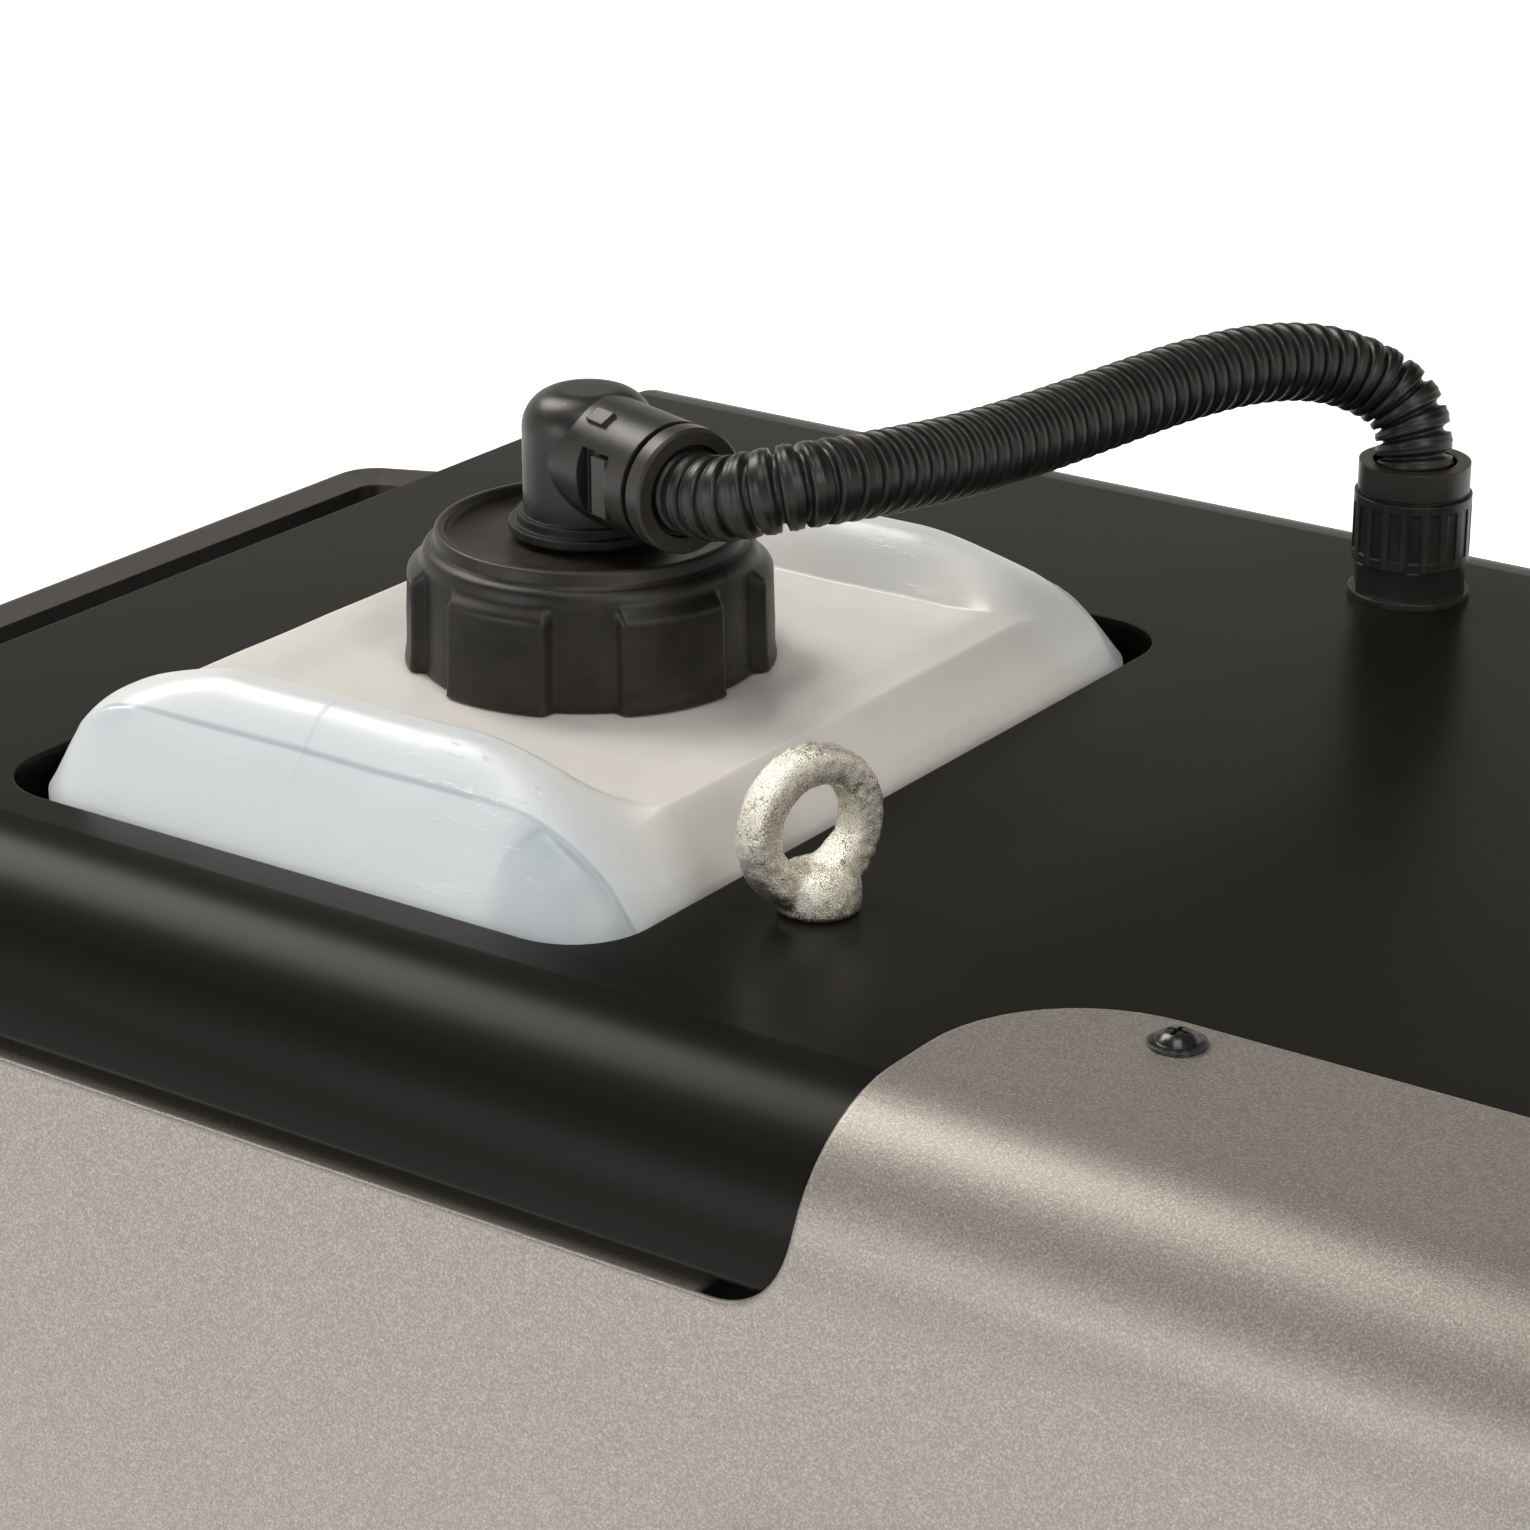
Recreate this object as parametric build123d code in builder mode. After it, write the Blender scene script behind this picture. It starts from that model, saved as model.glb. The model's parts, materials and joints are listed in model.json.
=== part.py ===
"""Mobile condensation dehumidifier with a condensate canister let into its deck.

Frame: millimetres, +Z up, origin on the floor under the middle of the machine. The front (control panel and
air outlet) faces -Y, the wheels are at -X. Air enters through the filter at the back, crosses the evaporator
and the condenser, and the fan blows it out of the front. A pump lifts the condensate to the canister.
"""

from build123d import *

import os
from math import cos, radians, sin, tan

# --- driving dimensions ---------------------------------------------------------------------------------
WIDTH = 414.0  # cabinet, along X
DEPTH = 330.0  # cabinet, along Y
DECK_Z = 570.0  # top of the deck above the floor
FLOOR_Z = 72.0  # underside of the base pan
BEND_R = 28.0  # front and back bends of the cover
SHEET = 1.5  # cover, side panels, base pan
THIN = 1.2  # grey front panel and the small sheet parts
FIT = 0.1  # gap between parts that lie on each other
RUN = 0.05  # radial clearance of a running fit

FRONT_Y = -DEPTH / 2
BACK_Y = DEPTH / 2
SIDE_X = WIDTH / 2
PAN_TOP = FLOOR_Z + SHEET
DECK_UNDER = DECK_Z - SHEET
APRON_Z = DECK_Z - BEND_R - 1.0  # lower edge of the cover's front apron
SKIRT_Z = FLOOR_Z + 4.0  # lower edge of the cover's back and of the side panels
PANEL_X = SIDE_X - 1.0  # outer face of the side panels

# canister: a 5 litre polyethylene jerrycan in a well under the deck
CAN_X, CAN_Y = -88.8, -32.0
CAN_W, CAN_L = 136.4, 190.0
CAN_R = 23.0
WELL_R = 15.0  # corners of the deck opening
CAN_WALL = 2.0
CAN_BOTTOM = DECK_Z - 252.0
CAN_TOP = DECK_Z + 10.0  # flat top plate
RIDGE_TOP = DECK_Z + 20.5  # crest of the two end ridges
WELL_GAP = 2.0
NECK_R = 27.0
NECK_TOP = DECK_Z + 27.5

# screw cap and elbow
CAP_R = 32.4
CAP_LOBE_R = 35.0
CAP_LOBES = 6
CAP_PHASE = -25.0  # heading of one lobe
CAP_X, CAP_Y = -90.5, -34.0
CAP_BASE = CAN_TOP + 0.4
CAP_RIM = DECK_Z + 34.0
CAP_DISC = DECK_Z + 34.6
CAP_UNDER = DECK_Z + 30.0
CAP_HOLE_R = 10.0
ELBOW_R = 12.4
ELBOW_Z = DECK_Z + 51.0  # axis of the elbow's outlet
ELBOW_HEADING = -18.0
ELBOW_REACH = 31.0  # from the cap's axis to the face of the outlet
BARREL_R = 11.8
BARREL_REACH = 27.0
RING_GAP = 1.1
WATERWAY_R = 6.0

# corrugated condensate hose and its deck fitting
HOSE_R = 7.9
FITTING_X, FITTING_Y = 7.0, 113.5
FITTING_TOP = DECK_Z + 28.5
HOSE_ROUTE = [
    (-61.0, -43.59, 621.0),
    (-53.0, -46.19, 621.0),
    (-45.0, -46.6, 623.8),
    (-37.6, -42.2, 625.7),
    (-33.0, -33.0, 625.5),
    (-31.0, -18.0, 623.9),
    (-29.5, 2.0, 621.7),
    (-27.5, 24.0, 620.8),
    (-25.0, 46.0, 620.9),
    (-21.5, 68.0, 621.3),
    (-16.6, 88.0, 621.0),
    (-10.6, 104.2, 618.4),
    (-3.2, 113.9, 613.5),
    (3.9, 116.2, 608.0),
    (7.0, 113.5, 599.6),
    (7.0, 113.5, 590.6),
]

# lifting eye
EYE_Y = -90.0
EYE_HEADING = -18.0  # the way the eye looks
EYE_RING_R = 10.9
EYE_WIRE_R = 3.4
EYE_TOP = DECK_Z + 29.6

# front panel with the tongue that laps over the deck
TONGUE_X = 45.4
TONGUE_Y = -96.0
TONGUE_CORNER = 30.0
PANEL_TOP = APRON_Z - 2.5
PANEL_FACE = FRONT_Y - FIT - THIN
TONGUE_TOP = DECK_Z + FIT + THIN
TONGUE_SCREWS = (78.8, 186.0)
SCREW_Y = -104.8

# air path on the right-hand side
AIR_X, AIR_Z = 107.5, 300.0
OUTLET_R = 78.0
COIL_W, COIL_H = 170.0, 340.0
COIL_BOTTOM = 130.0
COIL_LEFT = 22.0
EVAPORATOR_Y = 125.0
CONDENSER_Y = 75.0
COIL_DEPTH = 40.0
FAN_R = 70.0
FAN_Y = -82.0
DIVIDER_X = 16.5
TRAY_Z = 108.0
FILTER_X, FILTER_Z = 107.5, 305.0

# control panel
CONTROL_Z = 460.0
CONTROL_FACE = FRONT_Y - 4.4
KNOB_X = AIR_X - 50.0
ROCKER_X = AIR_X + 54.0
BUTTON_X = AIR_X + 26.0
ROCKER_TILT = 8.0

# running gear
WHEEL_R = 62.5
WHEEL_W = 30.0
WHEEL_X = -158.0
AXLE_R = 6.0
AXLE_HALF = BACK_Y + 36.0
WHEEL_Y = BACK_Y + 4.0 + WHEEL_W / 2
LEG_X = 170.0

# carrying handles
HANDLE_TOP = DECK_Z - 12.0
HANDLE_H = 22.0
HANDLE_OUT = 45.0  # reach from the side panel
HANDLE_LONG, HANDLE_SHORT = 106.0, 87.0  # half lengths at the side panel and at the bar
GRIP_W = 13.0

# cold circuit and condensate pump
COMPRESSOR_X, COMPRESSOR_Y = -95.0, 30.0
ACCUMULATOR_X, ACCUMULATOR_Y = -172.0, 60.0
PIPE_R = 4.0
SUMP_X, SUMP_Y = -15.5, 120.0

pieces = {}


def flat_box(low, high):
    """A box between two corners, kept out of the builder that calls it."""
    size = [b - a for a, b in zip(low, high)]
    middle = [(a + b) / 2 for a, b in zip(low, high)]
    return Pos(*middle) * Solid.make_box(*size, Plane((-size[0] / 2, -size[1] / 2, -size[2] / 2)))


def pipe(route, outer, inner, bend=12.0):
    """A drawn tube along runs joined by equal bends, made as a part of its own."""
    with BuildPart() as tube:
        with BuildLine() as centre:
            FilletPolyline(*route, radius=bend)
        with BuildSketch(Plane(centre.line @ 0, z_dir=centre.line % 0)):
            Circle(outer)
            if inner:
                Circle(inner, mode=Mode.SUBTRACT)
        sweep(path=centre.line)
    return tube


# --- cabinet shell --------------------------------------------------------------------------------------
with BuildPart() as top_cover:
    with BuildSketch(Plane.YZ):
        with BuildLine():
            FilletPolyline(
                (FRONT_Y + 12, APRON_Z),
                (FRONT_Y, APRON_Z),
                (FRONT_Y, DECK_Z),
                (BACK_Y, DECK_Z),
                (BACK_Y, SKIRT_Z),
                radius=[2.0, BEND_R, BEND_R],
            )
            offset(amount=SHEET, side=Side.RIGHT)
        make_face()
    extrude(amount=SIDE_X, both=True)
    with BuildSketch(Plane.XY.offset(DECK_Z)):
        with Locations((CAN_X, CAN_Y)):
            RectangleRounded(CAN_W + 2 * WELL_GAP, CAN_L + 2 * WELL_GAP, WELL_R)
    extrude(amount=-2 * SHEET, mode=Mode.SUBTRACT)
    with BuildSketch(Plane.XY.offset(DECK_Z)):
        with Locations((FITTING_X, FITTING_Y)):
            Circle(8.1)
        with Locations((0, EYE_Y)):
            Circle(3.2)
        with Locations(*[(x, SCREW_Y) for x in TONGUE_SCREWS]):
            Circle(2.1)
    extrude(amount=-2 * SHEET, mode=Mode.SUBTRACT)
    with BuildSketch(Plane.XZ.offset(-BACK_Y)):
        with Locations((FILTER_X, FILTER_Z)):
            RectangleRounded(COIL_W - 16, COIL_H - 16, 6)
        with Locations((-120, 120)):
            Rectangle(27.6, 20.6)
    extrude(amount=2 * SHEET, mode=Mode.SUBTRACT)
pieces["top_cover"] = top_cover

with BuildPart() as side_panels:
    inset = SHEET + 0.2
    with BuildSketch(Plane.YZ.offset(PANEL_X)):
        with BuildLine():
            outline = FilletPolyline(
                (FRONT_Y + inset, SKIRT_Z),
                (FRONT_Y + inset, DECK_Z - inset),
                (BACK_Y - inset, DECK_Z - inset),
                (BACK_Y - inset, SKIRT_Z),
                radius=BEND_R - inset,
            )
            Line(outline @ 1, outline @ 0)
        make_face()
        with Locations((FRONT_Y + 8, APRON_Z)):
            Rectangle(18, 12, mode=Mode.SUBTRACT)
        with Locations((0, 230)):
            with GridLocations(1, 16, 1, 8):
                SlotOverall(120, 6, mode=Mode.SUBTRACT)
        with Locations(*[(92 * side, HANDLE_TOP - HANDLE_H / 2) for side in (-1, 1)]):
            Circle(2.6, mode=Mode.SUBTRACT)
    extrude(amount=-SHEET)
    mirror(about=Plane.YZ)
pieces["side_panels"] = side_panels

with BuildPart() as front_panel:
    with BuildSketch(Plane.YZ):
        with BuildLine():
            FilletPolyline(
                (FRONT_Y + 12, FLOOR_Z - FIT - THIN),
                (PANEL_FACE, FLOOR_Z - FIT - THIN),
                (PANEL_FACE, TONGUE_TOP),
                (TONGUE_Y, TONGUE_TOP),
                radius=[2.0, BEND_R + FIT + THIN],
            )
            offset(amount=THIN, side=Side.RIGHT)
        make_face()
    extrude(amount=SIDE_X - 0.6, both=True)
    with BuildSketch(Plane.XZ.offset(-BACK_Y)) as above_apron:
        with Locations((-SIDE_X, PANEL_TOP)):
            Rectangle(TONGUE_X + SIDE_X, 60, align=(Align.MIN, Align.MIN))
        fillet(above_apron.vertices().sort_by(Axis.X)[-2:].sort_by(Axis.Y)[0], 14)
    extrude(amount=DEPTH + 10, mode=Mode.SUBTRACT)
    with BuildSketch(Plane.XY.offset(DECK_Z - 1)):
        with Locations((TONGUE_X, TONGUE_Y)):
            Rectangle(TONGUE_CORNER, TONGUE_CORNER, align=(Align.MIN, Align.MAX))
        with Locations((TONGUE_X + TONGUE_CORNER, TONGUE_Y - TONGUE_CORNER)):
            Circle(TONGUE_CORNER, mode=Mode.SUBTRACT)
    extrude(amount=5, mode=Mode.SUBTRACT)
    add(flat_box((-SIDE_X + 0.6, PANEL_FACE, PANEL_TOP - THIN), (28, FRONT_Y + 8, PANEL_TOP)))
    lip = front_panel.edges().filter_by(Axis.X).group_by(Axis.Y)[0].filter_by_position(
        Axis.Z, PANEL_TOP - 0.01, PANEL_TOP + 0.01
    )
    fillet(lip, 1.0)
    with BuildSketch(Plane.XZ.offset(-FRONT_Y - 2)):
        with Locations((AIR_X, AIR_Z)):
            Circle(OUTLET_R + 2)
        with Locations((AIR_X, CONTROL_Z)):
            RectangleRounded(141, 61, 4)
        with Locations((-95, 190)):
            with GridLocations(1, 13, 1, 7):
                SlotOverall(110, 4.5)
    extrude(amount=6, mode=Mode.SUBTRACT)
    with BuildSketch(Plane.XZ.offset(-FRONT_Y - 2)):
        with Locations(*[(x, z) for x in (-190, 190) for z in (150, 410)]):
            Circle(2.1)
    extrude(amount=6, mode=Mode.SUBTRACT)
    with BuildSketch(Plane.XY.offset(DECK_Z - 1)):
        with Locations(*[(x, SCREW_Y) for x in TONGUE_SCREWS]):
            Circle(2.1)
    extrude(amount=5, mode=Mode.SUBTRACT)
pieces["front_panel"] = front_panel

# flanged pan head screw, standing on its seat: shared by the panel and the handle screws
HEAD_R, HEAD_H, SHANK_R = 4.9, 2.6, 1.95
with BuildPart() as flange_screw:
    with BuildSketch(Plane.XZ):
        with BuildLine():
            Polyline((0, -6), (SHANK_R, -6), (SHANK_R, 0), (HEAD_R, 0), (HEAD_R, 0.7), (3.7, 0.95))
            ThreePointArc((3.7, 0.95), (2.4, 2.15), (0, HEAD_H))
            Line((0, HEAD_H), (0, -6))
        make_face()
    revolve(axis=Axis.Z)
    with BuildSketch(Plane.XY.offset(HEAD_H + 0.1)):
        Rectangle(3.6, 0.8)
        Rectangle(0.8, 3.6)
    extrude(amount=-1.6, mode=Mode.SUBTRACT)

with BuildPart() as screws:
    for x in TONGUE_SCREWS:
        add(flange_screw.part.moved(Location((x, SCREW_Y, TONGUE_TOP))))
    for x in (-190, 190):
        for z in (150, 410):
            add(flange_screw.part.moved(Location((x, PANEL_FACE, z), (90, 0, 0))))
    for side in (-1, 1):
        for y in (-92, 92):
            seat = (side * (PANEL_X - SHEET), y, HANDLE_TOP - HANDLE_H / 2)
            add(flange_screw.part.moved(Location(seat, (0, -90 * side, 0))))
pieces["screws"] = screws

# --- carrying handles -----------------------------------------------------------------------------------
with BuildPart() as right_handle:
    base_x = PANEL_X + FIT
    with BuildSketch(Plane.XY.offset(HANDLE_TOP - HANDLE_H)) as handle_plan:
        with BuildLine():
            Polyline(
                (base_x, -HANDLE_LONG),
                (base_x + HANDLE_OUT, -HANDLE_SHORT),
                (base_x + HANDLE_OUT, HANDLE_SHORT),
                (base_x, HANDLE_LONG),
                close=True,
            )
        make_face()
        fillet(handle_plan.vertices().sort_by(Axis.X)[-2:], 12)
    extrude(amount=HANDLE_H)
    fillet(right_handle.faces().filter_by(Axis.Z).edges().filter_by_position(Axis.X, base_x + 1, 999), 3.5)
    with BuildSketch(Plane.XY.offset(HANDLE_TOP)) as hand_slot:
        slot_x = base_x + HANDLE_OUT - GRIP_W
        with BuildLine():
            Polyline(
                (base_x + 3, -HANDLE_SHORT + 1),
                (slot_x, -HANDLE_SHORT + 11),
                (slot_x, HANDLE_SHORT - 11),
                (base_x + 3, HANDLE_SHORT - 1),
                close=True,
            )
        make_face()
        fillet(hand_slot.vertices(), 5)
    extrude(amount=-HANDLE_H, mode=Mode.SUBTRACT)
    with BuildSketch(Plane.YZ.offset(base_x)):
        with Locations(*[(92 * side, HANDLE_TOP - HANDLE_H / 2) for side in (-1, 1)]):
            Circle(2.05)
    extrude(amount=8, mode=Mode.SUBTRACT)
pieces["right_handle"] = right_handle

with BuildPart() as left_handle:
    add(right_handle.part)
    mirror(about=Plane.YZ, mode=Mode.REPLACE)
pieces["left_handle"] = left_handle

# --- canister well, canister, cap -----------------------------------------------------------------------
with BuildPart() as canister_well:
    with BuildSketch(Plane.XY.offset(CAN_BOTTOM - FIT - THIN)):
        with Locations((CAN_X, CAN_Y)):
            RectangleRounded(CAN_W + 7, CAN_L + 7, WELL_R + 1.5)
    extrude(amount=DECK_UNDER - CAN_BOTTOM + THIN)
    with BuildSketch(Plane.XY.offset(DECK_UNDER - FIT)):
        with Locations((CAN_X, CAN_Y)):
            RectangleRounded(CAN_W + 18, CAN_L + 16, WELL_R + 7)
    extrude(amount=-THIN)
    with BuildSketch(Plane.XY.offset(CAN_BOTTOM - FIT)):
        with Locations((CAN_X, CAN_Y)):
            RectangleRounded(CAN_W + 7 - 2 * THIN, CAN_L + 7 - 2 * THIN, WELL_R + 1.5 - THIN)
    extrude(amount=300, mode=Mode.SUBTRACT)
pieces["canister_well"] = canister_well


with BuildPart() as can_envelope:
    with BuildSketch(Plane.XY.offset(CAN_BOTTOM)):
        with Locations((CAN_X, CAN_Y)):
            RectangleRounded(CAN_W, CAN_L, CAN_R)
    extrude(amount=RIDGE_TOP + 5 - CAN_BOTTOM)

with BuildPart() as can_ridges:
    foot = CAN_Y - CAN_L / 2
    with BuildSketch(Plane.YZ.offset(CAN_X)) as ridge_profile:
        with BuildLine():
            Polyline(
                (foot, CAN_TOP - 14),
                (foot, DECK_Z),
                (foot + 13, DECK_Z + 14),
                (foot + 20, RIDGE_TOP),
                (foot + 26, RIDGE_TOP - 0.5),
                (foot + 35, CAN_TOP),
                (foot + 35, CAN_TOP - 14),
                close=True,
            )
        make_face()
        fillet(ridge_profile.vertices().sort_by(Axis.Y)[-2:], 4)
    extrude(amount=CAN_W / 2 - 5, both=True)
    mirror(about=Plane.XZ.offset(-CAN_Y))
    add(can_envelope.part, mode=Mode.INTERSECT)

with BuildPart() as canister:
    with BuildSketch(Plane.XY.offset(CAN_BOTTOM)):
        with Locations((CAN_X, CAN_Y)):
            RectangleRounded(CAN_W, CAN_L, CAN_R)
    extrude(amount=CAN_TOP - CAN_BOTTOM)
    fillet(canister.faces().sort_by(Axis.Z)[-1].edges(), 8)
    fillet(canister.faces().sort_by(Axis.Z)[0].edges(), 3)
    add(can_ridges.part)
    with BuildSketch(Plane.XY.offset(CAN_TOP - 4)):
        with Locations((CAP_X, CAP_Y)):
            Circle(NECK_R)
    extrude(amount=NECK_TOP - CAN_TOP + 4)
    with BuildSketch(Plane.XY.offset(CAN_BOTTOM + CAN_WALL)):
        with Locations((CAN_X, CAN_Y)):
            RectangleRounded(CAN_W - 2 * CAN_WALL, CAN_L - 2 * CAN_WALL, CAN_R - CAN_WALL)
    extrude(amount=CAN_TOP - CAN_BOTTOM - 13, mode=Mode.SUBTRACT)
    with BuildSketch(Plane.XY.offset(CAN_TOP - 12)):
        with Locations((CAN_X, CAN_Y)):
            RectangleRounded(CAN_W - 14, CAN_L - 14, CAN_R - 7)
    extrude(amount=12 - CAN_WALL, mode=Mode.SUBTRACT)
    with BuildSketch(Plane.XY.offset(CAN_TOP - 5)):
        with Locations((CAP_X, CAP_Y)):
            Circle(NECK_R - 2.5)
    extrude(amount=30, mode=Mode.SUBTRACT)
pieces["canister"] = canister

with BuildPart() as cap_lobes:
    with BuildSketch(Plane.XY.offset(CAP_BASE)):
        with PolarLocations(31.5, CAP_LOBES, start_angle=CAP_PHASE):
            Rectangle(8.0, 23.0)
        Circle(CAP_LOBE_R, mode=Mode.INTERSECT)
    extrude(amount=20.6)
    rims = cap_lobes.edges().filter_by(lambda e: (e @ 0.5 - Vector(0, 0, (e @ 0.5).Z)).length > CAP_LOBE_R - 2.0)
    fillet(rims.filter_by_position(Axis.Z, CAP_BASE + 1, 999), 1.5)

with BuildPart() as cap_at_origin:
    with BuildSketch(Plane.XZ):
        with BuildLine():
            Polyline(
                (CAP_HOLE_R, CAP_UNDER),
                (29.0, CAP_UNDER),
                (29.0, CAP_BASE),
                (CAP_R + 0.4, CAP_BASE),
                (CAP_R, CAP_BASE + 3),
                (CAP_R - 0.6, CAP_RIM - 4),
            )
            ThreePointArc((CAP_R - 0.6, CAP_RIM - 4), (CAP_R - 1.6, CAP_RIM - 1.1), (CAP_R - 3.4, CAP_RIM))
            Polyline(
                (CAP_R - 3.4, CAP_RIM),
                (28.8, CAP_RIM + 2.5),
                (27.4, CAP_RIM + 2.5),
                (27.0, CAP_DISC),
                (CAP_HOLE_R, CAP_DISC),
                (CAP_HOLE_R, CAP_UNDER),
            )
        make_face()
    revolve(axis=Axis.Z)
    add(cap_lobes.part)
    with BuildSketch(Plane.XY.offset(CAP_BASE - 1)):
        Circle(29.0)
    extrude(amount=CAP_UNDER - CAP_BASE + 1, mode=Mode.SUBTRACT)

with BuildPart() as screw_cap:
    add(cap_at_origin.part.moved(Location((CAP_X, CAP_Y, 0))))
pieces["screw_cap"] = screw_cap

with BuildPart() as cap_seal:
    with BuildSketch(Plane.XY.offset(NECK_TOP + 0.3)):
        with Locations((CAP_X, CAP_Y)):
            Circle(28.5)
            Circle(23.0, mode=Mode.SUBTRACT)
    extrude(amount=CAP_UNDER - FIT - NECK_TOP - 0.3)
pieces["cap_seal"] = cap_seal

# --- elbow in the cap -----------------------------------------------------------------------------------
OUTLET = Plane(
    origin=(CAP_X, CAP_Y, ELBOW_Z),
    x_dir=(-sin(radians(ELBOW_HEADING)), cos(radians(ELBOW_HEADING)), 0),
    z_dir=(cos(radians(ELBOW_HEADING)), sin(radians(ELBOW_HEADING)), 0),
)
ELBOW_TOP = DECK_Z + 62.9
COLLAR_Z = DECK_Z + 36.0

with BuildPart() as elbow_fitting:
    with BuildSketch(Plane.XY.offset(CAP_UNDER - 10)):
        with Locations((CAP_X, CAP_Y)):
            Circle(CAP_HOLE_R - RUN)
    extrude(amount=COLLAR_Z - CAP_UNDER + 10)
    for low, high, radius in ((COLLAR_Z, COLLAR_Z + 1.6, 15.2), (COLLAR_Z + 1.6, COLLAR_Z + 3.4, 13.6)):
        with BuildSketch(Plane.XY.offset(low)):
            with Locations((CAP_X, CAP_Y)):
                Circle(radius)
        extrude(amount=high - low)
    with BuildSketch(Plane.XY.offset(COLLAR_Z + 3.4)):
        with Locations((CAP_X, CAP_Y)):
            Circle(ELBOW_R)
    extrude(amount=ELBOW_TOP - COLLAR_Z - 3.4)
    fillet(elbow_fitting.edges().sort_by(Axis.Z)[-1], 7.4)
    with BuildSketch(OUTLET):
        Circle(BARREL_R)
    extrude(amount=BARREL_REACH)
    with BuildSketch(OUTLET.offset(BARREL_REACH)):
        Circle(8.6)
    extrude(amount=ELBOW_REACH - BARREL_REACH)
    with BuildSketch(OUTLET.offset(10.5)):
        with Locations(Location((-BARREL_R * sin(radians(30)), BARREL_R * cos(radians(30))), 30)):
            Rectangle(3.4, 1.6)
    extrude(amount=5.0)
    with BuildSketch(OUTLET):
        Circle(WATERWAY_R)
    extrude(amount=ELBOW_REACH, mode=Mode.SUBTRACT)
    with BuildSketch(Plane.XY.offset(CAP_UNDER - 10)):
        with Locations((CAP_X, CAP_Y)):
            Circle(WATERWAY_R)
    extrude(amount=ELBOW_Z - CAP_UNDER + 10, mode=Mode.SUBTRACT)
    # windows on both sides of the outlet, with the lock that shows in them
    for side in (-1, 1):
        with BuildSketch(OUTLET.offset(13.0)):
            with Locations((side * BARREL_R, -0.5)):
                Rectangle(5.4, 12.5)
        extrude(amount=8.5, mode=Mode.SUBTRACT)
        with BuildSketch(OUTLET.offset(17.2)):
            with Locations((side * (BARREL_R - 1.7), -0.5)):
                Rectangle(2.4, 11.0)
        extrude(amount=4.2)
pieces["elbow_fitting"] = elbow_fitting

with BuildPart() as elbow_ring:
    with BuildSketch(OUTLET.offset(BARREL_REACH + RING_GAP)):
        Circle(BARREL_R)
        Circle(8.7, mode=Mode.SUBTRACT)
    extrude(amount=ELBOW_REACH + 1.4 - BARREL_REACH - RING_GAP)
    chamfer(elbow_ring.edges().filter_by(GeomType.CIRCLE).sort_by(SortBy.RADIUS)[-2:], 0.5)
pieces["elbow_ring"] = elbow_ring

with BuildPart() as elbow_locknut:
    with BuildSketch(Plane.XY.offset(CAP_UNDER - 7)):
        with Locations((CAP_X, CAP_Y)):
            RegularPolygon(15, 6)
            Circle(CAP_HOLE_R, mode=Mode.SUBTRACT)
    extrude(amount=6.6)
pieces["elbow_locknut"] = elbow_locknut

# --- condensate hose ------------------------------------------------------------------------------------
def corner_radii(route):
    """The largest arc that the two runs at each corner of a route leave room for."""
    points = [Vector(*p) for p in route]
    radii = []
    for before, corner, after in zip(points, points[1:], points[2:]):
        arriving, leaving = corner - before, after - corner
        half_turn = radians(arriving.get_angle(leaving) / 2)
        radii.append(0.45 * min(arriving.length, leaving.length) / tan(half_turn))
    return radii


hose_radii = corner_radii(HOSE_ROUTE)
print("hose bend radii, mm:", [round(r, 1) for r in hose_radii])
with BuildPart() as condensate_hose:
    with BuildLine() as hose_line:
        hose_path = FilletPolyline(*HOSE_ROUTE, radius=hose_radii)
    with BuildSketch(Plane(hose_line.line @ 0, z_dir=hose_line.line % 0)):
        Circle(HOSE_R)
        Circle(WATERWAY_R, mode=Mode.SUBTRACT)
    sweep(path=hose_line.line)
pieces["condensate_hose"] = condensate_hose
print("hose length, mm:", round(hose_path.length, 1))

# --- deck fitting and lifting eye -----------------------------------------------------------------------
with BuildPart() as fitting_at_origin:
    for low, high, radius in ((0.0, 1.5, 12.3), (8.0, 22.0, 11.9), (22.6, 28.5, 11.3), (22.0, 22.6, 10.8)):
        with BuildSketch(Plane.XY.offset(DECK_Z + low)):
            Circle(radius)
        extrude(amount=high - low)
    with BuildSketch(Plane.XY.offset(DECK_Z + 1.5)):
        RegularPolygon(12.6, 6)
        Circle(12.1, mode=Mode.INTERSECT)
    extrude(amount=6.5)
    with BuildSketch(Plane.XY.offset(DECK_Z + 10)):
        with PolarLocations(12.3, 18):
            Rectangle(1.4, 2.2)
    extrude(amount=10, mode=Mode.SUBTRACT)
    with BuildSketch(Plane.XY.offset(DECK_Z - 16)):
        Circle(8.0)
    extrude(amount=16)
    with BuildSketch(Plane.XY.offset(DECK_Z - 28)):
        Circle(4.9)
    extrude(amount=12)
    with BuildSketch(Plane.XY.offset(DECK_Z + 20.4)):
        Circle(8.5)
    extrude(amount=10, mode=Mode.SUBTRACT)
    with BuildSketch(Plane.XY.offset(DECK_Z - 28)):
        Circle(3.4)
    extrude(amount=60, mode=Mode.SUBTRACT)
with BuildPart() as deck_fitting:
    add(fitting_at_origin.part.moved(Location((FITTING_X, FITTING_Y, 0))))
pieces["deck_fitting"] = deck_fitting

with BuildPart() as deck_locknut:
    with BuildSketch(Plane.XY.offset(DECK_UNDER - 6)):
        with Locations((FITTING_X, FITTING_Y)):
            RegularPolygon(12.5, 6)
            Circle(8.05, mode=Mode.SUBTRACT)
    extrude(amount=6 - FIT)
pieces["deck_locknut"] = deck_locknut

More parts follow.
